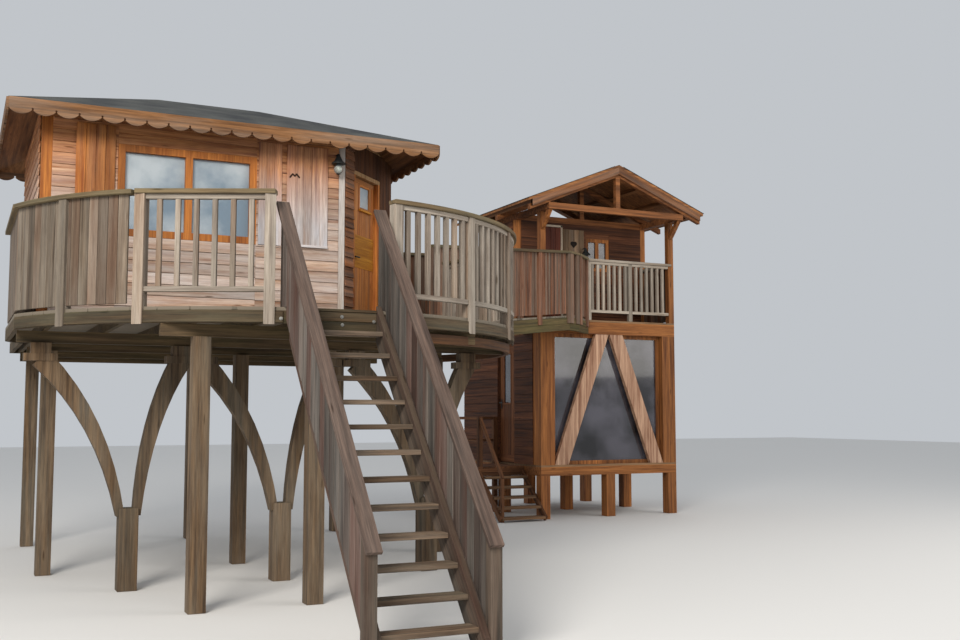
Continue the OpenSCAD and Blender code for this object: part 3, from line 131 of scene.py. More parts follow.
class Finish:
    """A material under way, with the few kinds of node that these finishes are made of."""

    def __init__(self, name):
        self.material = bpy.data.materials.new(name)
        self.material.use_nodes = True
        self.tree = self.material.node_tree

    def fill(self, node, sockets):
        """Gives each socket a plain value, or links another node's output to it."""
        for socket, value in sockets.items():
            if isinstance(value, bpy.types.NodeSocket):
                self.tree.links.new(value, node.inputs[socket])
            else:
                node.inputs[socket].default_value = value

    def node(self, kind, sockets, **settings):
        """Adds one node, with its settings made and its sockets filled."""
        added = self.tree.nodes.new(kind)
        for setting, value in settings.items():
            setattr(added, setting, value)
        self.fill(added, sockets)
        return added

    def place(self):
        """The place on the piece itself, in metres."""
        return self.node("ShaderNodeTexCoord", {}).outputs["Object"]

    def noise(self, scale, detail=2.0, roughness=0.5, where=None):
        sockets = {"Vector": where or self.place(), "Scale": scale, "Detail": detail, "Roughness": roughness}
        return self.node("ShaderNodeTexNoise", sockets).outputs["Fac"]

    def ramp(self, source, low, high, first, last):
        """Two colours, one below low and one above high, and a run between them."""
        added = self.node("ShaderNodeValToRGB", {0: source})
        for element, position, colour in zip(added.color_ramp.elements, (low, high), (first, last)):
            element.position = position
            element.color = colour
        return added.outputs[0]

    def mix(self, kind, factor, first, second):
        sockets = {0: factor, 6: first, 7: second}
        return self.node("ShaderNodeMix", sockets, data_type="RGBA", blend_type=kind).outputs[2]

    def between(self, source, low, high):
        """A value from 0 to 1 drawn into the range from low to high."""
        return self.node("ShaderNodeMapRange", {"Value": source, "To Min": low, "To Max": high}).outputs[0]

    def bump(self, height, strength, distance):
        sockets = {"Height": height, "Strength": strength, "Distance": distance}
        return self.node("ShaderNodeBump", sockets).outputs[0]

    def done(self, sockets):
        """Fills the surface shader's sockets and gives the finished material."""
        self.fill(self.tree.nodes["Principled BSDF"], sockets)
        return self.material


def wood(name, dark, light, along="board", moss=0.0, bleach=0.0, tint=None, rough=0.82, tone=0.45,
         silver=(184, 176, 164), stain=None):
    """Sawn timber: streaks, fibres and knots along the board, boards of different tone, some
    of another tint, old wood bleached towards silver, and moss on what faces up. stain is
    the height where a bleached wall turns to the orange stain that the eaves have kept."""
    finish = Finish(name)
    ramp, mix = finish.ramp, finish.mix
    if along == "board":
        axis, where = 0, finish.node("ShaderNodeUVMap", {}, uv_map="grain").outputs[0]
    else:
        axis, where = "xyz".index(along), finish.place()

    def stretched(lengthwise, across):
        scale = [across] * 3
        scale[axis] = lengthwise
        return finish.node("ShaderNodeMapping", {"Vector": where, "Scale": scale}).outputs[0]

    def grain(lengthwise, across, detail):
        return finish.noise(1.0, detail, 0.62, stretched(lengthwise, across))

    streaks, fibres = grain(0.9, 26, 7), grain(5, 210, 3)
    tones, patches = grain(0.05, 1.3, 1), grain(0.7, 5, 6)
    colour = ramp(streaks, 0.34, 0.68, paint(*dark), paint(*light))
    if tint:
        colour = mix("MIX", ramp(grain(0.04, 1.9, 1), 0.46, 0.58, grey(0), grey(0.6)), colour, paint(*tint))
    if bleach:
        colour = mix("MIX", ramp(patches, 0.38, 0.66, grey(0), grey(bleach)), colour, paint(*silver))
    if stain:
        height = finish.node("ShaderNodeSeparateXYZ", {0: finish.place()}).outputs["Z"]
        wavering = finish.node("ShaderNodeMath", {0: height, 1: patches}, operation="ADD").outputs[0]
        sockets = {"Value": wavering, "From Min": stain, "From Max": stain + 0.7, "To Max": 0.85}
        kept = finish.node("ShaderNodeMapRange", sockets).outputs[0]
        colour = mix("MIX", kept, colour, ramp(streaks, 0.34, 0.68, paint(152, 80, 30), paint(234, 158, 86)))
    colour = mix("MULTIPLY", 0.55, colour, ramp(fibres, 0.36, 0.60, (0.42, 0.40, 0.38, 1), grey(1)))
    colour = mix("MULTIPLY", 1.0, colour, ramp(tones, 0.38, 0.60, grey(1 - tone), grey(1)))
    cells = finish.node("ShaderNodeTexVoronoi", {"Vector": stretched(1.6, 11.0), "Scale": 1.0})
    knots = ramp(cells.outputs["Distance"], 0.045, 0.11, (0.38, 0.32, 0.27, 1), grey(1))
    colour = mix("MULTIPLY", 1.0, colour, knots)
    if moss:
        normal = finish.node("ShaderNodeNewGeometry", {}).outputs["Normal"]
        upward = finish.node("ShaderNodeSeparateXYZ", {0: normal}).outputs["Z"]
        lit = ramp(upward, 0.1, 0.9, grey(0.30), grey(1))
        growth = ramp(patches, 0.40, 0.60, grey(0), grey(moss))
        colour = mix("MIX", mix("MULTIPLY", 1.0, growth, lit), colour, paint(84, 88, 46))
    relief = finish.node("ShaderNodeMath", {0: streaks, 1: fibres}, operation="ADD").outputs[0]
    return finish.done({"Base Color": colour, "Specular IOR Level": 0.3,
                        "Roughness": finish.between(streaks, rough - 0.12, min(1.0, rough + 0.12)),
                        "Normal": finish.bump(relief, 0.55, 0.003)})


def finish_nodes(material, *nodes):
    """Gives CAD nodes that keep their shape their real finish."""
    for node in nodes:
        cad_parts[node].data.materials.clear()
        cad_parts[node].data.materials.append(material)


finish_nodes(wood("dark_stained_posts", (68, 52, 38), (142, 114, 84), along="z", moss=0.25, bleach=0.25),
             "deck_posts")


# The bearers, the joists and the curved rim are mossy softwood. The rim is bent from thin
# laminations that are bolted to the joists' ends.
finish_nodes(wood("mossy_beams", (60, 48, 34), (118, 96, 70), along="x", moss=0.5),
             "deck_bearers", "deck_frame")


# The deck's floor is of weathered boards, 140 mm wide with a 6 mm gap, nailed to the
# joists and cut off along the rim. Under the cabin they carry on as its floor.
def pick(piece):
    """Selects one object alone and makes it the active one."""
    bpy.ops.object.select_all(action="DESELECT")
    piece.select_set(True)
    bpy.context.view_layer.objects.active = piece


def worn_block(size, edge, cuts=()):
    """A block of timber with worn edges, cut across at these parts of its length."""
    bpy.ops.object.select_all(action="DESELECT")
    bpy.ops.mesh.primitive_cube_add(size=1)
    bpy.ops.object.mode_set(mode="EDIT")
    bpy.ops.mesh.select_all(action="SELECT")
    bpy.ops.transform.resize(value=size)
    bpy.ops.mesh.bevel(offset=edge, segments=1, affect="EDGES")
    for cut in cuts:
        bpy.ops.mesh.select_all(action="SELECT")
        bpy.ops.mesh.bisect(plane_co=(0, cut, 0), plane_no=(0, 1, 0))
    bpy.ops.object.mode_set(mode="OBJECT")
    return bpy.context.object


def bare_grain(piece):
    """Leaves a mesh with one empty UV map, for the run of its grain."""
    layers = piece.data.uv_layers
    while layers:
        layers.remove(layers[0])
    return layers.new(name="grain").data


sawn = worn_block((1, 1, 1), 0.003)
bare_grain(sawn)
cutter = random.Random(4)


def board(start, end, wide, thick, face=(0, 0, 1), shape=None):
    """A copy of the sawn block cut to run from start to end along its middle line, with its
    thickness along face. shape moves a finished corner, for ends that are cut askew."""
    start, end = Vector(start), Vector(end)
    along = (end - start).normalized()
    across = Vector(face).cross(along).normalized()
    half = ((end - start).length / 2, wide / 2, thick / 2)
    turn = Matrix((along, across, along.cross(across))).transposed()
    middle = (start + end) / 2
    mesh = sawn.data.copy()
    shift_u, shift_v = cutter.uniform(-40, 40), cutter.uniform(-40, 40)
    local = []
    for vertex in mesh.vertices:
        spot = Vector([(h - (0.5 - abs(c))) * (1 if c > 0 else -1) for c, h in zip(vertex.co, half)])
        local.append(spot)
        vertex.co = turn @ spot + middle
        if shape:
            vertex.co = shape(vertex.co)
    grain = mesh.uv_layers["grain"].data
    for loop in mesh.loops:
        spot = local[loop.vertex_index]
        grain[loop.index].uv = (spot.x + shift_u, spot.y + spot.z + shift_v)
    piece = bpy.data.objects.new("board", mesh)
    bpy.context.scene.collection.objects.link(piece)
    return piece


def crosswise(x0, x1, y, height, *cut):
    """A level board from left to right. cut is its width, thickness, face and shape."""
    return board(site(x0, y, height), site(x1, y, height), *cut)


def lengthwise(x, y0, y1, height, *cut):
    """A level board from front to back."""
    return board(site(x, y0, height), site(x, y1, height), *cut)


def upright(x, y, low, high, wide, thick, face=(0, -1, 0), shape=None):
    """A board that stands, facing the front unless another face is given."""
    return board(site(x, y, low), site(x, y, high), wide, thick, face, shape)


def spread(first, last, count):
    """The middles of so many equal parts between two places."""
    return [first + (number + 0.5) * (last - first) / count for number in range(count)]


def assemble(name, boards, material, body="building", replaces=()):
    """Joins cut boards into one piece and fixes it to its body."""
    bpy.ops.object.select_all(action="DESELECT")
    for piece in boards:
        piece.select_set(True)
    bpy.context.view_layer.objects.active = boards[0]
    if len(boards) > 1:
        bpy.ops.object.join()
    piece = bpy.context.view_layer.objects.active
    piece.name = name
    piece.data.materials.clear()
    piece.data.materials.append(material)
    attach(piece, body)
    if replaces:
        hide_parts(*replaces)
    return piece


def cut_to_node(piece, node):
    """Trims a piece of boards to the outline of the CAD node that it stands for."""
    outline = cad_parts[node].copy()
    outline.data = outline.data.copy()
    bpy.context.scene.collection.objects.link(outline)
    outline.parent = None
    outline.hide_viewport = False
    pick(outline)
    bpy.ops.object.mode_set(mode="EDIT")
    bpy.ops.mesh.select_all(action="SELECT")
    bpy.ops.mesh.remove_doubles(threshold=0.00001)
    bpy.ops.object.mode_set(mode="OBJECT")
    pick(piece)
    trim = piece.modifiers.new("trim", "BOOLEAN")
    trim.operation = "INTERSECT"
    trim.solver = "EXACT"
    trim.object = outline
    bpy.ops.object.modifier_apply(modifier=trim.name)
    bpy.data.objects.remove(outline)


to_front, to_back, to_left, to_right = (0, -1, 0), (0, 1, 0), (-1, 0, 0), (1, 0, 0)
deck_board_w, deck_board_t, deck_gap = 0.140, 0.030, 0.006
under_cabin_left, under_cabin_right = -2.45, 2.20
deck_boards = []
row_y = 0.02 - deck_radius
while row_y < deck_back:
    middle_y = row_y + deck_board_w / 2
    near = min(abs(row_y), abs(row_y + deck_board_w))
    reach = sqrt(max(deck_radius ** 2 - near ** 2, 0))
    left, right = -reach, reach
    if middle_y > 0:
        left, right = min(left, under_cabin_left), max(right, under_cabin_right)
    joint = -0.9 if int(row_y * 7) % 2 else 0.55
    for x0, x1 in ((left - 0.05, joint), (joint + 0.003, right + 0.05)):
        if x1 - x0 > 0.1:
            deck_boards.append(crosswise(x0, x1, middle_y, deck_top - deck_board_t / 2,
                                         deck_board_w, deck_board_t))
    row_y += deck_board_w + deck_gap
worn_deck = wood("worn_deck_boards", (96, 84, 70), (158, 142, 122), moss=0.3, bleach=0.5)
cut_to_node(assemble("deck_boards", deck_boards, worn_deck, replaces=["deck_floor"]),
            "deck_floor")


# The deck's open railings have silver-grey square balusters between two rails, posts
# notched over the rim, and a wide mossy cap. The curved ones are bent to the deck.
rail_radius = deck_radius - 0.015
rail_height, cap_wide, cap_thick = 1.02, 0.120, 0.040
under_cap = rail_height - cap_thick
rail_wide, rail_thick, rail_gap = 0.060, 0.045, 0.130
baluster_side, baluster_low, baluster_high = 0.044, rail_gap + 0.01, under_cap - 0.01
post_wide, post_in, post_out = 0.095, 0.065, 0.030
rim_under = deck_top - deck_board_t - 0.110
up = Vector((0, 0, 1))
silver_wood = wood("silver_balusters", (104, 88, 76), (206, 192, 176), moss=0.12, bleach=0.6,
                   tint=(166, 134, 106))
mossy_cap = wood("mossy_cap_rail", (78, 62, 42), (142, 118, 84), moss=0.8, bleach=0.15)


def outward(angle):
    """The level direction away from the deck's middle, its angle in degrees."""
    return Vector((cos(radians(angle)), sin(radians(angle)), 0))


def round_deck(angle, radius, height):
    """A point on a circle round the deck's middle."""
    return site(radius * cos(radians(angle)), radius * sin(radians(angle)), height)


def bent_rail(inner, outer, low, high, first, last):
    """A rail bent round the deck: a worn-edged timber laid along the arc in short steps."""
    count = max(2, round((last - first) / 3.0))
    length = radians(last - first) * (inner + outer) / 2
    cuts = [cut / count - 0.5 for cut in range(1, count) if abs(cut / count - 0.5) > 1e-6]
    rail = worn_block((outer - inner, 1, high - low), 0.004, [0] + cuts)
    mesh, grain = rail.data, bare_grain(rail)
    shift = cutter.uniform(-40, 40)
    for loop in mesh.loops:
        spot = mesh.vertices[loop.vertex_index].co
        grain[loop.index].uv = (spot.y * length + shift, spot.x + spot.z + shift)
    for vertex in mesh.vertices:
        angle = first + (vertex.co.y + 0.5) * (last - first)
        vertex.co = round_deck(angle, (inner + outer) / 2 + vertex.co.x, (low + high) / 2 + vertex.co.z)
    return rail


def bent_cap(first, last):
    """A length of the wide cap, bent over a round railing."""
    return bent_rail(rail_radius - cap_wide / 2, rail_radius + cap_wide / 2, deck_top + under_cap,
                     deck_top + rail_height, first, last)


def round_upright(angle, radius, low, high, wide, thick, *shape):
    """A board that stands on a circle round the deck, its face turned outwards."""
    return board(round_deck(angle, radius, low), round_deck(angle, radius, high), wide, thick,
                 outward(angle), *shape)


def rim_post(angle):
    """A railing post on the rim, its face board running down over the rim's edge."""

    def foot_cut(corner):
        reach = (corner - site(0, 0, corner.z)).dot(outward(angle)) - deck_radius
        if corner.z < rim_under:
            corner.z += 0.04 * (1 - reach / post_out)
        return corner

    top = deck_top + under_cap
    return [round_upright(angle, deck_radius - post_in / 2, deck_top, top, post_wide, post_in),
            round_upright(angle, deck_radius + post_out / 2, rim_under - 0.015, top, post_wide, post_out,
                          foot_cut)]


def open_bay(start, end, pitch):
    """A straight open bay between two points on a floor: rails with balusters, and a cap."""
    along = (end - start).normalized()
    side = Vector((-along.y, along.x, 0))
    length = (end - start).length
    bay = [board(start + up * height, end + up * height, rail_wide, rail_thick)
           for height in (rail_gap + rail_thick / 2, under_cap - rail_thick / 2)]
    count = max(1, round(length / pitch) - 1)
    for number in range(1, count + 1):
        foot = start + along * (number * length / (count + 1))
        bay.append(board(foot + up * baluster_low, foot + up * baluster_high, baluster_side, baluster_side,
                         side))
    cap_line = up * (rail_height - cap_thick / 2)
    return bay, board(start - along * 0.05 + cap_line, end + along * 0.05 + cap_line, cap_wide, cap_thick)


left_bay = (-127.0, -103.5)
open_left, left_cap = open_bay(*(round_deck(angle, rail_radius, deck_top) for angle in left_bay), 0.160)
for angle in left_bay:
    open_left += rim_post(angle)
assemble("left_railing", open_left, silver_wood, replaces=["deck_railing_left"])
assemble("left_railing_cap", [left_cap], mossy_cap)

curve_first, curve_last, baluster_pitch = -79.0, 18.0, 0.118
curve_count = round(rail_radius * radians(curve_last - curve_first) / baluster_pitch)
curved = [bent_rail(rail_radius - rail_wide / 2, rail_radius + rail_wide / 2, deck_top + low,
                    deck_top + low + rail_thick, curve_first, curve_last)
          for low in (rail_gap, under_cap - rail_thick)]
for number in range(curve_count + 1):
    angle = curve_first + number * (curve_last - curve_first) / curve_count
    if number % 8 == 0 or number == curve_count:
        curved += rim_post(angle)
    else:
        curved.append(round_upright(angle, rail_radius, deck_top + baluster_low, deck_top + baluster_high,
                                    baluster_side, baluster_side))
assemble("curved_railing", curved, silver_wood, replaces=["deck_railing_curved"])
cap_over, cap_seam = 1.1, 0.04
cap_joints = [curve_first - cap_over + part * (curve_last - curve_first + 2 * cap_over)
              for part in (0, 0.36, 0.70, 1.0)]
curved_caps = [bent_cap(first + cap_seam, last) for first, last in zip(cap_joints, cap_joints[1:])]
assemble("curved_railing_cap", curved_caps, mossy_cap)


# The far left of the deck has a closed railing: upright grey-brown boards side by side
# round the curve and then straight back to the cabin, under the same mossy cap.
cabin_left = -2.300
fence_board, fence_pitch, fence_thick = 0.098, 0.102, 0.022
fence_low, fence_top = deck_top + 0.030, deck_top + under_cap
fence_x, fence_back = deck_cut + 0.015, 0.650
boarded_first, boarded_last = 180 + degrees(acos(-fence_x / rail_radius)), 231.5
fence_step = degrees(fence_pitch / rail_radius)
fence = []
angle = boarded_first + fence_step / 2
while angle < boarded_last - fence_step / 2:
    fence.append(round_upright(angle, rail_radius, fence_low, fence_top, fence_board, fence_thick))
    angle += fence_step
fence += rim_post((boarded_first + boarded_last) / 2)
fence_front = rail_radius * sin(radians(boarded_first))
for y in spread(fence_front, fence_back, round((fence_back - fence_front) / fence_pitch)):
    fence.append(upright(fence_x, y, fence_low, fence_top, fence_board, fence_thick, to_left))
return_first, return_last, return_board = fence_x + fence_thick / 2, fence_x + 0.259, 0.120
for x in spread(return_first, return_last, 2):
    fence.append(upright(x, fence_back, fence_low, fence_top, return_board, fence_thick, to_back))
inner_post_wide, inner_post_thick = 0.080, 0.060
for y in (fence_front + 0.100, fence_back - 0.070):
    fence.append(upright(fence_x + (fence_thick + inner_post_thick) / 2, y, deck_top, fence_top,
                         inner_post_wide, inner_post_thick, to_left))
grey_fence = wood("grey_brown_fence", (78, 64, 52), (148, 130, 110), moss=0.1, bleach=0.4,
                  tint=(124, 92, 72), tone=0.5)
assemble("boarded_railing", fence, grey_fence, replaces=["deck_railing_boarded"])
cap_middle = fence_top + cap_thick / 2
assemble("boarded_railing_cap", [
    bent_cap(boarded_first, boarded_last),
    lengthwise(fence_x, fence_front - 0.02, fence_back + 0.06, cap_middle, cap_wide, cap_thick),
    crosswise(fence_x + 0.06, cabin_left - 0.0003, fence_back, cap_middle, cap_wide, cap_thick)],
    mossy_cap)


# The stair is a steep open flight: two wide stringers, twelve thick treads let in between
# them, and closed railings of upright boards under flat handrails that end on newels.
stair_middle, stair_half, stringer_thick, stringer_deep = -0.050, 0.370, 0.050, 0.220
stair_left, stair_right = stair_middle - stair_half, stair_middle + stair_half
stair_riser, stair_going, tread_count = deck_top / 13, 0.177, 12
stair_head = -sqrt(deck_radius ** 2 - (stair_half + stringer_thick - stair_middle) ** 2)
stair_foot = stair_head - tread_count * stair_going
stringer_shift = 0.040 - stringer_deep / 2 / cos(atan2(stair_riser, stair_going))
newel_side = 0.090
newel_y = stair_foot - newel_side / 2
handrail_foot, handrail_head, handrail_wide, handrail_thick = 0.870, deck_top + 0.780, 0.115, 0.032
under_handrail, slat_side, slat_joint = 0.050, 0.022, 0.015
stair_wood = wood("brown_grey_stair", (44, 35, 29), (118, 97, 82), moss=0.15, bleach=0.25, tint=(96, 60, 46),
                  silver=(160, 152, 142), tone=0.5)


def stair_line(y):
    """The height of the line through the treads' front edges."""
    return deck_top + (y - stair_head) * stair_riser / stair_going


def handrail_line(y):
    """The height of a handrail's top."""
    return handrail_foot + (handrail_head - handrail_foot) * (y - newel_y) / (stair_head - newel_y)


stringers = []
for x in (stair_left - stringer_thick / 2, stair_right + stringer_thick / 2):
    ends = [site(x, y, stair_line(y) + stringer_shift) for y in (stair_foot - 0.20, stair_head + 0.20)]
    stringer = board(*ends, stringer_deep, stringer_thick, to_right)
    pick(stringer)
    bpy.ops.object.mode_set(mode="EDIT")
    for place, normal in ((site(0, stair_head), to_back), (site(0, 0), (0, 0, -1)),
                          (site(0, stair_foot - stair_going / 2), to_front)):
        bpy.ops.mesh.select_all(action="SELECT")
        bpy.ops.mesh.bisect(plane_co=place, plane_no=normal, clear_outer=True, use_fill=True)
    bpy.ops.object.mode_set(mode="OBJECT")
    stringers.append(stringer)
assemble("stair_strings", stringers, stair_wood, replaces=["stair_stringers"])
tread_deep, tread_thick = 0.170, 0.040
treads = [crosswise(stair_left, stair_right, stair_head - number * stair_going + tread_deep / 2,
                    deck_top - number * stair_riser - tread_thick / 2, tread_deep, tread_thick)
          for number in range(1, tread_count + 1)]
assemble("stair_steps", treads, wood("worn_treads", (80, 62, 48), (152, 124, 98), moss=0.15, bleach=0.35),
         replaces=["stair_treads"])


def newel_top(corner):
    """Cuts a newel's head to the slope under the handrail."""
    if corner.z > 0.3:
        corner.z = handrail_line(corner.y - deck_middle.y) - under_handrail
    return corner


newels, railing_boards, handrails = [], [], []
first, edge, last = newel_y + newel_side / 2, -deck_radius, stair_head + 0.155
count = round((edge - first) / 0.124)
rows = [(y, (edge - first) / count) for y in spread(first, edge, count)]
rows += [(y, (last - edge) / 2) for y in spread(edge, last, 2)]
side_x = stair_half + stringer_thick
for side in (-1, 1):
    newels.append(upright(stair_middle + side * (side_x + newel_side / 2), newel_y, 0, 0.64,
                          newel_side, newel_side, to_back, newel_top))
    x = stair_middle + side * (side_x + slat_side * 1.5)
    for y, pitch in rows:

        def railing_cut(corner, y=y):
            corner_y = corner.y - deck_middle.y
            if corner.z > stair_line(y) + 0.3:
                corner.z = handrail_line(corner_y) - under_handrail
            else:
                corner.z = stair_line(corner_y) - 0.060 if y < edge else deck_top + 0.0003
            return corner

        railing_boards.append(upright(x, y, stair_line(y), stair_line(y) + 0.6, pitch - slat_joint,
                                      slat_side, to_right, railing_cut))
    rail_foot = newel_y - newel_side / 2 - 0.025
    flat = Vector((0, handrail_line(rail_foot) - handrail_line(last), last - rail_foot)).normalized()
    ends = [site(x, y, handrail_line(y) - under_handrail / 2) for y in (rail_foot, last)]
    handrails.append(board(*ends, handrail_wide, handrail_thick, flat))
    gap_x = stair_middle + side * (side_x + slat_side / 2)
    ends = [site(gap_x, y, stair_line(y) - 0.02) for y in (first, edge)]
    railing_boards.append(board(*ends, slat_side, 0.026, flat))
assemble("stair_newel_posts", newels, stair_wood, replaces=["stair_newels"])
slat_wood = wood("grey_and_red_slats", (46, 41, 38), (132, 120, 110), moss=0.08, bleach=0.3,
                 tint=(104, 56, 38), silver=(164, 160, 156), tone=0.55)
assemble("stair_railing_boards", railing_boards, slat_wood,
         replaces=["stair_railing_left", "stair_railing_right"])
assemble("stair_handrails", handrails,
         wood("worn_handrails", (64, 50, 43), (126, 104, 92), bleach=0.2, silver=(156, 142, 132), tone=0.2))


# The stair's head is bolted through the rim: two boards with a nosing over them close the
# rim between the strings, fixed with zinc-plated coach bolts in pairs.
stair_face = [crosswise(stair_left, stair_right, stair_head - out / 2, (low + high) / 2, high - low, out,
                        to_front)
              for low, high, out in ((2.576, 2.600, 0.020), (2.492, 2.574, 0.012), (2.408, 2.489, 0.012))]
for first, last in ((-81.7, 21.0), (-159.0, -101.0)):
    stair_face.append(bent_rail(deck_radius - 0.002, deck_radius + 0.016, 2.464, 2.568, first, last))
assemble("stair_head_and_rim_boards", stair_face,
         wood("dark_rim_boards", (52, 41, 29), (116, 94, 68), moss=0.5, bleach=0.15))
assemble("lower_rim_board", [bent_rail(deck_radius - 0.085, deck_radius - 0.035, 2.335, 2.425, -80.0, 20.0)],
         wood("brown_under_rim", (66, 44, 28), (126, 86, 54)))


def mottled(name, scale, dark, light, **sockets):
    """A hard plain finish whose colour wanders between two paints."""
    finish = Finish(name)
    colour = finish.ramp(finish.noise(scale), 0, 1, paint(*dark), paint(*light))
    return finish.done({"Base Color": colour, **sockets})


bolt_places = [(site(x, stair_head - 0.012, z), Vector(to_front))
               for x, z in ((-0.225, 2.533), (-0.222, 2.470), (-0.003, 2.533), (0.002, 2.462),
                            (0.295, 2.500))]
bolt_places += [(round_deck(angle, deck_radius + 0.016, 2.499), outward(angle)) for angle in (-101.4, -80.9)]
bolts = []
for spot, out in bolt_places:
    for radius, reach in ((0.016, 0.003), (0.010, 0.010)):
        bpy.ops.object.select_all(action="DESELECT")
        bpy.ops.mesh.primitive_cylinder_add(vertices=12, radius=radius, depth=reach,
                                            location=spot + out * reach / 2,
                                            rotation=out.to_track_quat("Z", "Y").to_euler())
        bpy.ops.object.transform_apply(location=True, rotation=True, scale=True)
        bolts.append(bpy.context.object)
zinc = mottled("zinc_plate", 70, (118, 116, 110), (196, 196, 190), Metallic=0.7, Roughness=0.45)
assemble("coach_bolts", bolts, zinc)


# The cabin's walls are lapped boards on a frame. Their corner posts stand proud, and the
# doorway is set in a wall across the front right corner.
cabin_right, cabin_front, cabin_rear = 2.060, 0.550, 3.450
corner_cut, wall_thick, post_side, wall_top = 0.960, 0.090, 0.110, deck_top + 2.40
window_left, window_right = -1.515, 0.030
window_low, window_high = deck_top + 1.030, deck_top + 2.050
corner_board_wide = 0.074
corner_x = cabin_right - corner_cut
finish_nodes(wood("plain_inner_walls", (150, 112, 74), (205, 168, 124), along="z", tone=0.1),
             "cabin_front_wall", "cabin_rear_walls", "cabin_door_wall", "doorway_heads")
finish_nodes(wood("orange_stained_posts", (156, 84, 32), (222, 142, 66), along="z", rough=0.65),
             "cabin_frame", "cabin_window_frame")


def lapped_boards(start, end, low, high, out, exposure=0.128, thick=0.016, lean=0.010):
    """Lapped boards on a wall from start to end in plan, each leaning out over the next."""
    out = Vector(out)
    count = max(1, round((high - low) / exposure))
    rows = []
    for z in spread(low, high, count):

        def lean_out(corner, z=z):
            return corner + out * lean if corner.z < z else corner

        line = [Vector((point.x, point.y, z)) + out * thick / 2 for point in (start, end)]
        rows.append(board(*line, (high - low) / count - 0.002, thick, out, lean_out))
    return rows


wall_boards = []
for x0, x1, low, high in ((cabin_left + post_side, window_left, deck_top, wall_top),
                          (window_left, window_right, deck_top, window_low),
                          (window_left, window_right, window_high, wall_top),
                          (window_right, corner_x - corner_board_wide, deck_top, wall_top)):
    wall_boards += lapped_boards(site(x0, cabin_front), site(x1, cabin_front), low, high, to_front)
for x0, y0, x1, y1, out in (
        (cabin_left, cabin_rear - post_side, cabin_left, cabin_front + post_side, to_left),
        (cabin_right - post_side, cabin_rear, cabin_left + post_side, cabin_rear, to_back),
        (cabin_right, cabin_front + corner_cut + post_side, cabin_right, cabin_rear - post_side, to_right)):
    wall_boards += lapped_boards(site(x0, y0), site(x1, y1), deck_top, wall_top, out)
assemble("cabin_lapped_boards", wall_boards,
         wood("bleached_cabin_boards", (166, 114, 80), (232, 204, 180), bleach=0.78,
              silver=(218, 210, 206), stain=deck_top + 1.85, tone=0.34))


def across_corner(distance, depth, height):
    """A point on the doorway wall: distance along it from the front corner, depth inwards."""
    return site(corner_x + (distance - depth) / sqrt(2), cabin_front + (distance + depth) / sqrt(2), height)


door_out = Vector((1, -1, 0)).normalized()
doorway_left, doorway_wide, jamb = 0.290, 0.656, 0.050
# The doorway wall's lapped boards are darker than the front's: partly their own brown, partly painted shade
# of a wall turned from the light.
doorway_boards = lapped_boards(across_corner(0.002, 0, 0), across_corner(doorway_left - jamb - 0.012, 0, 0),
                               deck_top, wall_top, door_out, exposure=0.120, thick=0.018, lean=0.016)
assemble("doorway_wall_boards", doorway_boards,
         wood("brown_and_shaded_doorway_boards", (88, 48, 26), (180, 114, 68), bleach=0.25))
corner_board_thick = 0.032
corner_board = upright(corner_x - corner_board_wide / 2, cabin_front - corner_board_thick / 2, deck_top,
                       wall_top, corner_board_wide, corner_board_thick)
assemble("bleached_corner_board", [corner_board],
         wood("bleached_corner", (176, 150, 128), (226, 216, 206), bleach=0.9, silver=(212, 208, 206),
              tone=0.1))
# Upright dark boards beside the door and over its head. Over the head their dark brown is painted shade, the
# shadow under the eave; beside the door it is partly the boards' own dark brown and partly painted shade.
shaded_boards = []
for first, last, count, low, wide in (
        (1.002, 1.354, 4, deck_top, 0.086),
        (doorway_left - jamb, doorway_left + doorway_wide + jamb, 7, deck_top + 2.070, 0.104)):
    for distance in spread(first, last, count):
        ends = [across_corner(distance, -0.008, height) for height in (low, wall_top)]
        shaded_boards.append(board(*ends, wide, 0.016, door_out))
assemble("doorway_dark_and_shaded_boards", shaded_boards, wood("dark_and_shaded_doorway_boards", (62, 38, 24), (116, 74, 46)))


# The window has two fixed panes in a stout orange frame. Beside it stand upright bleached
# boards and a shutter of five boards on two ledges, and on its left an orange shutter.
def pane_glass(name, dark, light):
    """Clear glass with a painted reflection of a cloudy sky in its colour, and a little dust on it."""
    finish = Finish(name)
    sky_reflection = finish.ramp(finish.noise(1.6, 5), 0.38, 0.62, paint(*dark), paint(*light))
    dust = finish.between(finish.noise(90), 0.02, 0.16)
    return finish.done({"Base Color": sky_reflection, "Roughness": dust, "Transmission Weight": 0.45, "IOR": 1.5,
                        "Coat Weight": 0.6})


def close_boards(left, right, count, y, low, high, gap, thick):
    """Upright boards that fill a width in front, each a gap narrower than its share."""
    return [upright(x, y, low, high, abs(right - left) / count - gap, thick)
            for x in spread(left, right, count)]


# The cabin's panes carry a painted reflection of a pale cloudy sky.
clear_glass = pane_glass("clear_glass", (150, 172, 190), (228, 238, 244))
finish_nodes(clear_glass, "cabin_window_glass")
shutter_left, shutter_right, shutter_top = 0.385, 0.885, window_low + 1.210
shutter_boards = close_boards(shutter_left, shutter_right, 5, cabin_front - 0.028, window_low, shutter_top,
                              0.002, 0.024)
shutter_boards += [crosswise(shutter_left + 0.01, shutter_right - 0.01, cabin_front - 0.008, height,
                             0.09, 0.016, to_front) for height in (window_low + 0.06, shutter_top - 0.06)]
shutter_boards += close_boards(window_right + 0.020, shutter_left - 0.060, 3, cabin_front - 0.020, window_low,
                               shutter_top, 0.002, 0.038)
shutter_boards.append(crosswise(shutter_left, shutter_right, cabin_front - 0.046, window_low + 0.014,
                                0.028, 0.016, to_front))
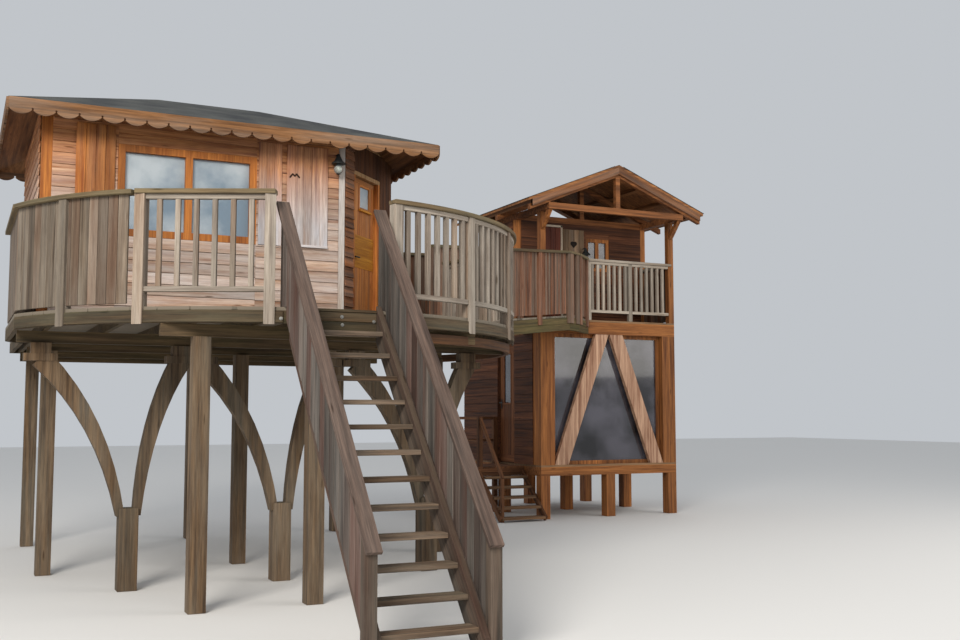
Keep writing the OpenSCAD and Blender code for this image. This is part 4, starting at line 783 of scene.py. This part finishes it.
# The shutter's bleached part is silver with a cool blue cast, which is painted shade; the orange above the
# stain height is its own stain.
assemble("shutter_boards", shutter_boards,
         wood("bleached_shutters_blue_shade", (184, 158, 144), (236, 228, 224), bleach=0.9, silver=(214, 216, 224),
              stain=deck_top + 1.80, tone=0.28), replaces=["cabin_shutters"])
left_shutter = close_boards(window_left - 0.030, window_left - 0.440, 4, cabin_front - 0.038,
                            window_low + 0.004, shutter_top, 0.003, 0.022)
for height in (window_low + 0.16, shutter_top - 0.16):
    left_shutter.append(crosswise(window_left - 0.430, window_left - 0.040, cabin_front - 0.014, height,
                                  0.09, 0.027, to_front))
orange_wood = wood("orange_stained_wood", (158, 84, 30), (228, 146, 70), rough=0.62, bleach=0.25,
                   silver=(226, 190, 150))
assemble("left_shutter_boards", left_shutter, orange_wood)
# The shutter has a cut-out like a bird's wings near its top. Thin dark boards laid on its face stand for the
# hole: their dark brown is painted shade.
cutout_shade_y = cabin_front - 0.0405
cutout_shade = [board(site(x0, cutout_shade_y, deck_top + z0), site(x1, cutout_shade_y, deck_top + z1), 0.020, 0.003, to_front)
             for x0, z0, x1, z1 in ((0.415, 1.846, 0.452, 1.896), (0.447, 1.896, 0.480, 1.868),
                                    (0.476, 1.868, 0.500, 1.900), (0.495, 1.900, 0.536, 1.852))]
assemble("shutter_cutout_shade", cutout_shade, wood("painted_cutout_shade", (52, 34, 24), (92, 60, 40)))


# The cabin's door is a ledged door of upright boards in a frame, with a small square pane
# above its ochre middle panel. It hangs on two metal hinges and has a lever handle.
door_wide, door_high, door_thick, door_gap = 0.640, 2.000, 0.044, 0.008
panel_thick, pane_bead = 0.006, 0.030
panel_faces = (panel_thick / 2, door_thick - panel_thick / 2)
hinge_heights = (0.260 - door_gap, door_high - 0.240 - door_gap)
dark_metal = mottled("dark_metal", 60, (30, 34, 36), (66, 70, 70), Metallic=0.6, Roughness=0.5)


def boarded_door(place, out, wide, pane):
    """Upright boards round a pane, ledges across their ends on both faces, and a bead round
    the pane. place turns distance, depth and height in the doorway into a point."""
    left, low, pane_wide, pane_high = pane
    right, high = left + pane_wide, low + pane_high
    skin = door_thick - 2 * panel_thick
    pieces = []

    def piece(x0, z0, x1, z1, depth, *cut):
        pieces.append(board(place(x0, depth, z0), place(x1, depth, z1), *cut, out))

    columns = [0, left / 2, left, (left + right) / 2, right, (right + wide) / 2, wide]
    for x0, x1 in zip(columns, columns[1:]):
        x = (x0 + x1) / 2
        for z0, z1 in ((0, low), (high, door_high)) if left < x < right else ((0, door_high),):
            piece(x, z0, x, z1, door_thick / 2, x1 - x0 - 0.002, skin)
    for z0, z1 in ((0.0, 0.12), (max(door_high - 0.12, high + pane_bead), door_high)):
        for depth in panel_faces:
            piece(0.002, (z0 + z1) / 2, wide - 0.002, (z0 + z1) / 2, depth, z1 - z0, panel_thick)
    for x in (left - pane_bead / 2, right + pane_bead / 2):
        piece(x, low - pane_bead, x, high + pane_bead, panel_faces[0], pane_bead, panel_thick)
    for z in (low - pane_bead / 2, high + pane_bead / 2):
        piece(left, z, right, z, panel_faces[0], pane_bead, panel_thick)
    return pieces


def hinge_and_handle(place, out, wide):
    """Hinges on the door's inner face by its right edge, and a lever handle on the left."""
    pieces = []
    for height in hinge_heights:
        foot = place(wide + 0.003, door_thick + 0.012, height + 0.0003)
        bpy.ops.object.select_all(action="DESELECT")
        bpy.ops.mesh.primitive_cylinder_add(vertices=24, radius=0.011, depth=0.060,
                                            location=foot + up * 0.030)
        bpy.ops.object.transform_apply(location=True, rotation=True, scale=True)
        bare_grain(bpy.context.object)
        pieces.append(bpy.context.object)
        ends = [place(wide + edge, door_thick + 0.003, height + 0.030) for edge in (-0.087, 0.003)]
        pieces.append(board(*ends, 0.058, 0.006, out))
    for depth, reach in ((-0.002, -0.040), (door_thick + 0.002, door_thick + 0.040)):
        pieces.append(board(place(0.055, depth, 0.90), place(0.055, depth, 1.06), 0.035, 0.004, out))
        pieces.append(board(place(0.055, depth, 1.00), place(0.055, reach, 1.00), 0.016, 0.016))
        pieces.append(board(place(0.047, reach, 1.00), place(0.165, reach, 1.00), 0.018, 0.012, out))
    return pieces


def in_cabin_doorway(distance, depth, height):
    """A point on the cabin's door leaf: depth inwards from the leaf's outer face."""
    return across_corner(doorway_left + door_gap + distance, wall_thick - door_thick + depth,
                         deck_top + door_gap + height)


cabin_pane = (0.240, 1.650, 0.260, 0.260)
assemble("cabin_door_boards", boarded_door(in_cabin_doorway, door_out, door_wide, cabin_pane), orange_wood,
         body="cabin_door_leaf", replaces=["cabin_door"])
middle_panels = [board(in_cabin_doorway(x0, depth, height), in_cabin_doorway(x1, depth, height), wide,
                       thick, door_out)
                 for x0, x1, depth, height, wide, thick in (
                     (0.003, door_wide - 0.003, panel_faces[0], 1.085, 0.410, panel_thick),
                     (0.003, door_wide - 0.003, panel_faces[1], 1.085, 0.410, panel_thick),
                     (0.205, 0.535, -0.012, 1.608, 0.026, 0.036))]
assemble("cabin_door_panel", middle_panels, wood("ochre_panel", (172, 104, 22), (230, 160, 54), rough=0.6),
         body="cabin_door_leaf")
assemble("cabin_door_ironwork", hinge_and_handle(in_cabin_doorway, door_out, door_wide), dark_metal,
         body="cabin_door_leaf")
finish_nodes(clear_glass, "cabin_door_pane")


# The hipped roof is boarded and covered with dark mineral roofing in courses. Its eaves
# carry a board with a scalloped lower edge, one scallop of which has broken off.
finish = Finish("dark_roofing")
grit = finish.noise(240, 4)
worn_grey = finish.ramp(finish.noise(2.2, 6), 0.36, 0.66, paint(54, 57, 60), paint(96, 98, 94))
roofing = finish.done({"Base Color": finish.mix("MULTIPLY", 0.7, worn_grey, grit), "Roughness": 0.92,
                       "Normal": finish.bump(grit, 0.5, 0.002)})
roof_low, roof_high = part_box("cabin_roof")
eave_height, hip_pitch = deck_top + 2.350, radians(20)
half_depth = (roof_high.y - roof_low.y) / 2
course, course_lap, course_thick, course_lift = 0.145, 0.012, 0.006, 0.004


def hip_course(start, end, side):
    """One course of roofing on a slope that falls towards side, cut along the hips."""
    middle, along = (start + end) / 2, (end - start).normalized()
    reach = (end - start).length / 2
    out = side * sin(hip_pitch) + up * cos(hip_pitch)

    def hip_cut(corner):
        run = (corner - middle).dot(along)
        if abs(run) > reach - 0.1:
            corner = corner + along * (1 if run > 0 else -1) * (corner - middle).dot(side)
        return corner

    return board(start + out * course_lift, end + out * course_lift, course + course_lap, course_thick,
                 out, hip_cut)


courses = []
inset = course / 2 * cos(hip_pitch)
while inset <= half_depth - 0.01:
    left, front = roof_low.x + inset, roof_low.y + inset
    right, back = roof_high.x - inset, roof_high.y - inset
    height = eave_height + inset * tan(hip_pitch)
    for x0, y0, x1, y1, side in ((left, front, right, front, to_front), (right, front, right, back, to_right),
                                 (left, back, right, back, to_back), (left, front, left, back, to_left)):
        if x1 - x0 + y1 - y0 >= 0.2:
            courses.append(hip_course(Vector((x0, y0, height)), Vector((x1, y1, height)), Vector(side)))
    inset += course * cos(hip_pitch)
assemble("roof_courses", courses, roofing)
finish_nodes(wood("roof_boarding", (96, 62, 36), (158, 110, 70), along="y", rough=0.8), "cabin_roof")
finish_nodes(wood("fascia_wood", (92, 60, 34), (164, 116, 74), along="x", bleach=0.25), "cabin_fascia")


# Wall lanterns of dark painted metal: a back plate and an arm carry a bell-shaped hood over
# a glass globe with a lamp in it. One is on the cabin's front corner, one on the lodge.
finish = Finish("lantern_globe_glass")
globe_glass = finish.done({"Base Color": paint(214, 222, 220), "Transmission Weight": 0.8,
                           "Roughness": finish.between(finish.noise(22), 0.03, 0.22)})
lamp_white = mottled("lamp_white", 14, (226, 222, 206), (250, 248, 238), Roughness=0.35)
lodge_low, lodge_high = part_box("lodge_floors")
lodge_left, lodge_right = lodge_low.x - deck_middle.x, lodge_high.x - deck_middle.x
lodge_front, upper_floor = lodge_low.y - deck_middle.y, 3.210
room_front, lantern_arm = lodge_front + 0.850, 0.110
lantern_iron, lantern_globes, lantern_lamps = [], [], []
for place in (site(corner_x - post_side, cabin_front, deck_top + 2.010),
              site((lodge_left + lodge_right) / 2, room_front, upper_floor + 1.160)):
    lantern_iron.append(board(place + Vector((0, -0.0075, 0.060)), place + Vector((0, -0.0075, 0.190)),
                              0.060, 0.015, to_front))
    lantern_iron.append(board(place + Vector((0, -0.010, 0.158)), place + Vector((0, -lantern_arm, 0.158)),
                              0.018, 0.016))
    for low_radius, high_radius, low, high in (
            (0.085, 0.081, 0.040, 0.052), (0.081, 0.050, 0.052, 0.080), (0.050, 0.022, 0.080, 0.135),
            (0.022, 0.015, 0.135, 0.160), (0.030, 0.030, 0.004, 0.040), (0.010, 0.026, -0.090, -0.080)):
        bpy.ops.object.select_all(action="DESELECT")
        bpy.ops.mesh.primitive_cone_add(vertices=36, radius1=low_radius, radius2=high_radius,
                                        depth=high - low,
                                        location=place + Vector((0, -lantern_arm, (low + high) / 2)))
        bpy.ops.object.shade_smooth_by_angle(angle=radians(40))
        lantern_iron.append(bpy.context.object)
    for pieces, radius, tall, drop in ((lantern_globes, 0.055, 1.05, -0.026),
                                       (lantern_lamps, 0.026, 1.3, -0.020)):
        bpy.ops.object.select_all(action="DESELECT")
        bpy.ops.mesh.primitive_uv_sphere_add(segments=32, ring_count=16, radius=radius,
                                             location=place + Vector((0, -lantern_arm, drop)))
        bpy.ops.transform.resize(value=(1, 1, tall))
        bpy.ops.object.shade_smooth()
        pieces.append(bpy.context.object)
for piece in lantern_iron + lantern_globes + lantern_lamps:
    pick(piece)
    bpy.ops.object.transform_apply(location=True, rotation=True, scale=True)
    bare_grain(piece)
assemble("lantern_ironwork", lantern_iron, dark_metal, replaces=["wall_lanterns"])
assemble("lantern_globes", lantern_globes, globe_glass)
assemble("lantern_lamps", lantern_lamps, lamp_white)


# The walkway climbs gently from the deck to the lodge's upper floor, with boards across
# it, closed railings of narrow upright boards, and face posts over its edge beams.
walk_angle, walk_len, walk_level, walk_wide = radians(31.2), 3.740, 0.310, 1.100
walk_start = outward(22) * (deck_radius - 0.150)
walk_floor = deck_top + 0.230
walk_slope = (upper_floor - walk_floor) / walk_len
walk_way = Vector((cos(walk_angle), sin(walk_angle), 0))
walk_side = Vector((sin(walk_angle), -cos(walk_angle), 0))
walk_up = (up - walk_way * walk_slope).normalized()
far_start = (cabin_right + 0.008 - walk_start.x + (walk_wide + 0.038) * sin(walk_angle)) / cos(walk_angle)
walk_board_first, walk_board_pitch, walk_board_wide = 0.072, 0.1435, 0.138
slat_thick, slat_pitch, slat_gap, slat_in, slat_low, slat_top = 0.022, 0.050, 0.004, 0.010, 0.030, 0.981
face_post_low, face_post_top, face_post_out, face_post_thick = -0.120, 0.982, 0.019, 0.038
cap_in, cap_mid = 0.011, 1.0
fence_wood = wood("red_fence_boards", (72, 40, 26), (164, 104, 68), moss=0.08, bleach=0.22,
                  tint=(128, 110, 94), tone=0.55)


def on_walkway(x, y, height):
    """A point on the walkway: x along its near side, y across, height over its floor."""
    level = walk_floor + x * walk_slope + height
    return deck_middle + walk_start + walk_way * x - walk_side * y + up * level


near_end, far_end = on_walkway(walk_len, 0, 0), on_walkway(walk_len, walk_wide, 0)
walk_boards = []
x = walk_board_first
while x < walk_len - 0.06:
    walk_boards.append(board(on_walkway(x, 0, -deck_board_t / 2), on_walkway(x, walk_wide, -deck_board_t / 2),
                             walk_board_wide, deck_board_t, walk_up))
    x += walk_board_pitch
for number in range(12):
    shift = walk_way * (walk_board_first + number * walk_board_pitch) - up * deck_board_t / 2
    walk_boards.append(board(far_end - walk_side * 0.6 + shift, near_end + walk_side * 1.2 + shift,
                             walk_board_wide, deck_board_t))
cut_to_node(assemble("walkway_boards", walk_boards, worn_deck, replaces=["walkway_floor"]),
            "walkway_floor")
finish_nodes(wood("mossy_walkway_beams", (84, 72, 48), (140, 122, 84), along="x", moss=0.7), "walkway_frame")


def walkway_fence(start, end, side, posts):
    """Narrow upright boards and face posts between two points on the walkway's floor, upright
    and cut to its slope. side is the level direction inwards."""
    level = Vector((end.x - start.x, end.y - start.y, 0))
    way, length = level.normalized(), level.length
    slope = (end.z - start.z) / length
    count = max(1, round(length / slat_pitch))
    uprights = [(distance, slat_in, slat_low, slat_top, length / count - slat_gap, slat_thick)
                for distance in spread(0, length, count)]
    uprights += [(post_wide / 2 + number * (length - post_wide) / (posts - 1), -face_post_out,
                  face_post_low, face_post_top, post_wide, face_post_thick) for number in range(posts)]
    pieces = []
    for distance, inwards, low, high, wide, thick in uprights:
        foot = start + way * distance + side * inwards + up * distance * slope

        def follow_slope(corner, foot=foot):
            corner.z += (corner - foot).dot(way) * slope
            return corner

        pieces.append(board(foot + up * low, foot + up * high, wide, thick, side, follow_slope))
    return pieces


level_end = Vector((near_end.x, near_end.y, upper_floor))
near_bend = level_end + walk_way * walk_level
turn_way = Vector((1, 1, 0)).normalized()
turn_corner = near_bend + turn_way * ((site(0, lodge_front).y - near_bend.y) * sqrt(2))
level_fences, level_caps = [], []
for start, end in ((level_end + walk_way * 0.002, near_bend - walk_way * 0.025),
                   (near_bend + turn_way * 0.025, turn_corner - turn_way * 0.0636)):
    side = Vector((start.y - end.y, end.x - start.x, 0)).normalized()
    level_fences += walkway_fence(start, end, side, 2)
    cap_line = side * cap_in + up * cap_mid
    level_caps.append(board(start + cap_line, end + cap_line, cap_wide, cap_thick))
near_fence = walkway_fence(on_walkway(0, 0, 0), near_end, -walk_side, 5) + level_fences
assemble("walkway_near_fence", near_fence, fence_wood, replaces=["walkway_railing_near"])
far_fence = walkway_fence(on_walkway(far_start, walk_wide, 0), far_end, walk_side, 5)
assemble("walkway_far_fence", far_fence, fence_wood, replaces=["walkway_railing_far"])
walkway_caps = [board(on_walkway(x, y, cap_mid), on_walkway(walk_len, y, cap_mid), cap_wide, cap_thick,
                      walk_up)
                for x, y in ((0, cap_in), (far_start, walk_wide - cap_in))]
assemble("walkway_caps", walkway_caps + level_caps, mossy_cap)
edge_board, edge_thick = 0.097, 0.012
edge_boards = []
for drop in (0.080, 0.180):
    for x, y, side in ((0.152, -edge_thick / 2, 1), (far_start, walk_wide + edge_thick / 2, -1)):
        edge_boards.append(board(on_walkway(x, y, -drop), on_walkway(walk_len, y, -drop), edge_board,
                                 edge_thick, walk_side * side))
    for start, end in ((level_end, near_bend), (near_bend, turn_corner)):
        way = (end - start).normalized()
        out = Vector((way.y, -way.x, 0))
        low = out * edge_thick / 2 - up * drop
        edge_boards.append(board(start + low, end + low, edge_board, edge_thick, out))
assemble("walkway_edge_boards", edge_boards,
         wood("mossy_edge_boards", (66, 56, 34), (128, 108, 70), moss=0.8))


# The lodge stands on stub posts: sill beams, stout corner posts, and above them the upper
# floor's beams and slimmer posts with knee braces, all planed and stained orange-brown.
# The lodge's panes carry a painted reflection, dark with cloudy patches.
dark_glass = pane_glass("dark_glass", (40, 38, 42), (104, 102, 112))
finish_nodes(dark_glass, "lodge_glazing")
finish_nodes(wood("lodge_post_wood", (124, 70, 32), (206, 134, 72), along="z", rough=0.7),
             "lodge_posts", "lodge_frames")
for name, dark, light, along, rough, tone, node in (
        ("lodge_beam_wood", (116, 66, 30), (196, 128, 70), "x", 0.75, 0.45, "lodge_beams"),
        ("lodge_floor_boards", (110, 82, 56), (168, 132, 98), "x", 0.82, 0.45, "lodge_floors"),
        ("shaded_truss_wood", (92, 54, 28), (168, 108, 62), "x", 0.75, 0.45, "lodge_truss"),
        ("purlin_wood", (98, 62, 36), (162, 112, 70), "y", 0.75, 0.45, "lodge_purlins"),
        ("pale_brace_wood", (142, 100, 76), (218, 178, 148), "z", 0.7, 0.1, "lodge_braces")):
    finish_nodes(wood(name, dark, light, along=along, rough=rough, tone=tone), node)


# The lodge's lower room is boarded level in wide red-brown boards, and its rear top edge
# is rounded. The upper room is boarded in the same wood, with a door and a window in front.
lodge_boards = wood("red_brown_wall_boards", (70, 40, 26), (138, 86, 56), tone=0.5, rough=0.78)
finish_nodes(wood("lodge_wall_core", (84, 50, 32), (140, 90, 60), along="y"), "lodge_lower_walls")
finish_nodes(wood("lodge_upper_core", (84, 50, 32), (140, 90, 60), along="x"), "lodge_upper_walls")
low_floor, beam_under, lower_rows = 0.850, 2.980, 15
upper_rows, upper_pitch, board_gap = 12, 0.145, 0.004
upper_back, lodge_back = lodge_front + 2.250, lodge_front + 2.900
door_near, door_far, doorway_high = lodge_front + 0.905, lodge_front + 1.521, 2.016
corner_wide, upper_post = 0.255, 0.100
lower_thick, upper_thick = 0.014, 0.010
lower_pitch, upper_top = (beam_under - low_floor) / lower_rows, upper_floor + upper_rows * upper_pitch
back_round, round_top = 0.750, 3.060


def rounded_back(height):
    """How far back the lower room reaches at a height, along its rounded rear edge."""
    over = max(height - (round_top - back_round), 0)
    return lodge_back - back_round + sqrt(max(back_round ** 2 - over ** 2, 0))


cladding = []
for x, way, hole_near, hole_far, hole_low, hole_high in (
        (lodge_left, -1, door_near, door_far, low_floor, low_floor + doorway_high),
        (lodge_right, 1, lodge_front + 0.900, lodge_front + 1.900, 1.850, 2.650)):
    for z in spread(low_floor, beam_under, lower_rows):
        near, far = lodge_front + corner_wide, rounded_back(z + lower_pitch / 2) - 0.012
        at_hole = z + lower_pitch / 2 > hole_low + 0.03 and z - lower_pitch / 2 < hole_high - 0.03
        for y0, y1 in ((near, hole_near), (hole_far, far)) if at_hole else ((near, far),):
            cladding.append(lengthwise(x + way * lower_thick / 2, y0, y1, z, lower_pitch - board_gap,
                                       lower_thick, (way, 0, 0)))
    for z in spread(upper_floor, upper_top, upper_rows):
        cladding.append(lengthwise(x + way * upper_thick / 2, room_front + upper_post,
                                   upper_back - upper_post, z, upper_pitch - board_gap, upper_thick,
                                   (way, 0, 0)))
assemble("lodge_wall_boards", cladding, lodge_boards)

upper_door_left, upper_door_right, upper_door_high = lodge_left + 0.460, lodge_left + 0.860, 1.660
upper_window_left, upper_window_right = lodge_left + 1.370, lodge_left + 1.850
upper_window_low, upper_window_high = upper_floor + 0.940, upper_floor + 1.510
front_cladding = []
for z in spread(upper_floor, upper_top, upper_rows):
    stops = [lodge_left + upper_post, lodge_right - upper_post]
    if upper_window_low - 0.05 < z < upper_window_high + 0.05:
        stops[1:1] = [upper_window_left, upper_window_right]
    if z < upper_floor + upper_door_high:
        stops[1:1] = [upper_door_left, upper_door_right]
    for x0, x1 in zip(stops[::2], stops[1::2]):
        front_cladding.append(crosswise(x0, x1, room_front - upper_thick / 2, z, upper_pitch - board_gap,
                                        upper_thick, to_front))
assemble("upper_front_boards", front_cladding, lodge_boards)

upper_door = close_boards(upper_door_left, upper_door_right, 4, room_front - 0.008, upper_floor + 0.005,
                          upper_floor + upper_door_high - 0.005, board_gap, 0.036)
assemble("upper_door_boards", upper_door,
         wood("red_upper_door", (84, 38, 26), (142, 76, 54), tone=0.35, rough=0.7))
trim_y, trim_wide, trim_thick = room_front - 0.018, 0.04, 0.018
trims = [upright(x, trim_y, upper_floor, upper_floor + 1.70, trim_wide - 0.002, trim_thick)
         for x in (upper_door_left - trim_wide / 2, upper_door_right + trim_wide / 2)]
trims.append(crosswise(upper_door_left - trim_wide, upper_door_right + trim_wide, trim_y, upper_floor + 1.68,
                       trim_wide - 0.004, trim_thick, to_front))
assemble("upper_door_trim", trims, wood("pale_trim", (168, 146, 122), (222, 206, 184), bleach=0.3))
panel_left, panel_right, panel_top = upper_door_right + 0.045, upper_window_left - 0.045, upper_floor + 1.640
heart_panel = close_boards(panel_left, panel_right, 4, trim_y, upper_floor + 0.020, panel_top, 0.003, 0.020)
assemble("upper_wall_panel", heart_panel,
         wood("pale_upper_panel", (112, 84, 60), (176, 142, 108), bleach=0.3))
heart = []
heart_x, heart_y, heart_z = (panel_left + panel_right) / 2, room_front - 0.030, panel_top - 0.260
for x in (-0.026, 0.026):
    bpy.ops.object.select_all(action="DESELECT")
    bpy.ops.mesh.primitive_cylinder_add(vertices=24, radius=0.037, depth=0.004, rotation=(radians(90), 0, 0),
                                        location=site(heart_x + x, heart_y, heart_z + 0.018))
    heart.append(bpy.context.object)
heart_point = site(heart_x, heart_y, heart_z - 0.008)
bpy.ops.object.select_all(action="DESELECT")
bpy.ops.mesh.primitive_cube_add(size=1, location=heart_point)
bpy.ops.transform.resize(value=(0.074, 0.0042, 0.074))
bpy.ops.transform.rotate(value=radians(45), orient_axis="Y", orient_type="GLOBAL",
                         center_override=heart_point)
heart.append(bpy.context.object)
for piece in heart:
    pick(piece)
    bpy.ops.object.transform_apply(location=True, rotation=True, scale=True)
assemble("heart_inlay", heart, wood("dark_inlay", (30, 22, 16), (58, 42, 30), along="z"))


# The lodge's door is boarded like the cabin's, with a tall pane by its handle side. It
# hangs in the lower room's left wall.
lodge_wall_thick, lodge_door_wide = 0.080, 0.600


def in_lodge_doorway(distance, depth, height):
    """A point on the lodge's door leaf: distance from its left edge seen from outside."""
    return site(lodge_left + lodge_wall_thick - door_thick + depth, door_far - door_gap - distance,
                low_floor + door_gap + height)


lodge_pane = (0.150, 1.000, 0.230, 0.820)
assemble("lodge_door_boards", boarded_door(in_lodge_doorway, to_left, lodge_door_wide, lodge_pane),
         wood("lodge_door_wood", (104, 60, 34), (168, 108, 66), rough=0.7),
         body="lodge_door_leaf", replaces=["lodge_door"])
assemble("lodge_door_ironwork", hinge_and_handle(in_lodge_doorway, to_left, lodge_door_wide), dark_metal,
         body="lodge_door_leaf")
finish_nodes(dark_glass, "lodge_door_pane")


# Outside the lodge's door is a small landing with a rail, and five open steps down. Both
# are of the same stained boards as the lodge, on posts that stand on the ground.
landing_deep, landing_post, joist_thick = 0.830, 0.080, 0.045
landing_rail_wide, landing_rail_thick = 0.040, 0.046
landing_left, landing_near, landing_far = lodge_left - landing_deep, door_far - 0.940, door_far + 0.060
landing_floor, landing_rail, post_in_line = 0.820, 1.620, 0.045
post_x, post_y = landing_left + post_in_line, landing_far - post_in_line
wall_end = lodge_left - 0.001
landing = [lengthwise(x, landing_near, landing_far, landing_floor - 0.015, landing_deep / 7 - board_gap,
                      0.030)
           for x in spread(landing_left, lodge_left, 7)]
for y in (landing_near + joist_thick / 2, landing_far - joist_thick / 2):
    for low, high in ((0.670, 0.728), (0.731, 0.790)):
        landing.append(crosswise(landing_left, wall_end, y, (low + high) / 2, high - low, joist_thick,
                                 to_front))
for x in (landing_left + joist_thick / 2, wall_end - joist_thick / 2):
    landing.append(lengthwise(x, landing_near + 0.046, landing_far - 0.046, 0.730, 0.118, joist_thick,
                              to_left))
for x, y in ((post_x, landing_near + post_in_line), (post_x, post_y), (lodge_left - 0.060, post_y)):
    landing.append(upright(x, y, 0, landing_rail, landing_post, landing_post))
for z in (landing_rail - 0.022, landing_floor + 0.403):
    landing.append(lengthwise(post_x, landing_near + 0.020, landing_far - 0.020, z, landing_rail_wide,
                              landing_rail_thick))
    landing.append(crosswise(landing_left + 0.020, wall_end, post_y, z, landing_rail_wide,
                             landing_rail_thick))
step_foot = landing_near - 5.6 * 0.150


def ground_cut(corner):
    """Cuts a string's foot off level on the ground."""
    if corner.z < 0.02:
        corner.z = 0.0
    return corner


for x in (landing_left + 0.010, landing_left + 0.800):
    landing.append(board(site(x, step_foot + 0.060, 0.035),
                         site(x, landing_near + 0.010, landing_floor - 0.090),
                         0.085, 0.040, to_right, ground_cut))
landing.append(board(site(post_x, step_foot + 0.060, 0.670),
                     site(post_x, landing_near + 0.020, landing_rail - 0.030), 0.055, 0.040, to_right))
landing.append(upright(post_x, step_foot + 0.085, 0.0, 0.690, 0.050, 0.050))
assemble("lodge_landing_timbers", landing, wood("landing_wood", (84, 52, 32), (150, 100, 64), tone=0.5),
         replaces=["lodge_landing"])
finish_nodes(wood("lodge_step_wood", (110, 80, 56), (176, 136, 100), along="x"), "lodge_steps")


# The balcony's railing has slim pale balusters and a middle post in front, and its sides
# are boarded. The turned fence of the walkway ends against it.
pale_rail = wood("pale_balcony_rail", (134, 116, 98), (212, 200, 184), bleach=0.5)
rail_left, rail_right = turn_corner.x - deck_middle.x + 0.010, lodge_right - upper_post - 0.0002
rail_y, balcony_top = lodge_front + 0.040, upper_floor + under_cap
balcony_bay, balcony_cap = open_bay(site(rail_left, rail_y, upper_floor),
                                    site(rail_right, rail_y, upper_floor), 0.105)
for x in (rail_left + 0.035, rail_left + 0.035 + (rail_right - rail_left) / 2):
    balcony_bay.append(upright(x, rail_y, upper_floor, balcony_top, 0.070, 0.066))
assemble("balcony_front_railing", balcony_bay, pale_rail, replaces=["balcony_railing"])
side_panels, side_caps = [], [balcony_cap]
far_y = far_end.y - deck_middle.y + (lodge_left - (far_end.x - deck_middle.x)) * tan(walk_angle)
for x, y0, way in ((lodge_left + 0.031, far_y + 0.060, -1),
                   (lodge_right - 0.031, lodge_front + upper_post, 1)):
    count = round((room_front - y0) / 0.100)
    for y in spread(y0, room_front, count):
        side_panels.append(upright(x, y, upper_floor + 0.030, balcony_top,
                                   (room_front - y0) / count - board_gap, 0.022, (way, 0, 0)))
    side_caps.append(lengthwise(x - way * 0.024, y0, room_front, balcony_top + cap_thick / 2,
                                cap_wide - 0.010, cap_thick))
assemble("balcony_side_panels", side_panels, fence_wood)
assemble("balcony_caps", side_caps, pale_rail)


# The gable roof is of orange-stained boards laid along the slope, whose edges show under
# the verge, with courses of dark roofing nailed over them.
finish_nodes(wood("orange_roof_boards", (112, 66, 34), (190, 130, 78), along="x", rough=0.7), "lodge_roof")
gable_low, gable_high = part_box("lodge_roof")
gable_pitch = radians(22)
gable_half, ridge_x = (gable_high.x - gable_low.x) / 2, (gable_low.x + gable_high.x) / 2
slope_length = gable_half / cos(gable_pitch)
roof_deep = gable_high.z - gable_low.z - gable_half * tan(gable_pitch)
barge_reach, barge_deep, barge_thick, barge_inset = gable_half - 0.060, 0.110, 0.046, 0.0215
barge_z = gable_high.z - roof_deep - barge_deep / 2
barges = []
for side in (-1, 1):

    def plumb_cut(corner, side=side):
        run = (corner.x - ridge_x) * side
        reach = 0.0002 if run < barge_reach / 2 else barge_reach
        corner.z -= (reach - run) * tan(gable_pitch)
        corner.x = ridge_x + side * reach
        return corner

    for y in (gable_low.y + barge_inset, gable_high.y - barge_inset):
        end = (ridge_x + side * barge_reach, y, barge_z - barge_reach * tan(gable_pitch))
        barges.append(board((ridge_x, y, barge_z), end, barge_deep * cos(gable_pitch) + 0.003, barge_thick,
                            to_front, plumb_cut))
assemble("gable_barge_boards", barges, wood("barge_wood", (88, 50, 26), (176, 112, 62), bleach=0.2))
gable_courses = []
for side in (-1, 1):
    out = Vector((side * sin(gable_pitch), 0, cos(gable_pitch)))
    for number in range(int((slope_length - 0.02) / course)):
        down = slope_length - (number + 0.5) * course + 0.01
        x = ridge_x + side * (down * cos(gable_pitch) + course_lift * sin(gable_pitch))
        z = gable_high.z - down * sin(gable_pitch) + course_lift * cos(gable_pitch)
        gable_courses.append(board((x, gable_low.y - course_lap, z), (x, gable_high.y + course_lap, z),
                                   course + course_lap, course_thick, out))
assemble("gable_roof_courses", gable_courses, roofing)


# The sawn block that the boards were copied from is removed, and the boxes of the CAD model
# and of the finished visual model are given as the script's last value.
bpy.data.objects.remove(sawn)
low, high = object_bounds()
{"cad": [list(cad_low), list(cad_high)], "visual": [list(low), list(high)]}
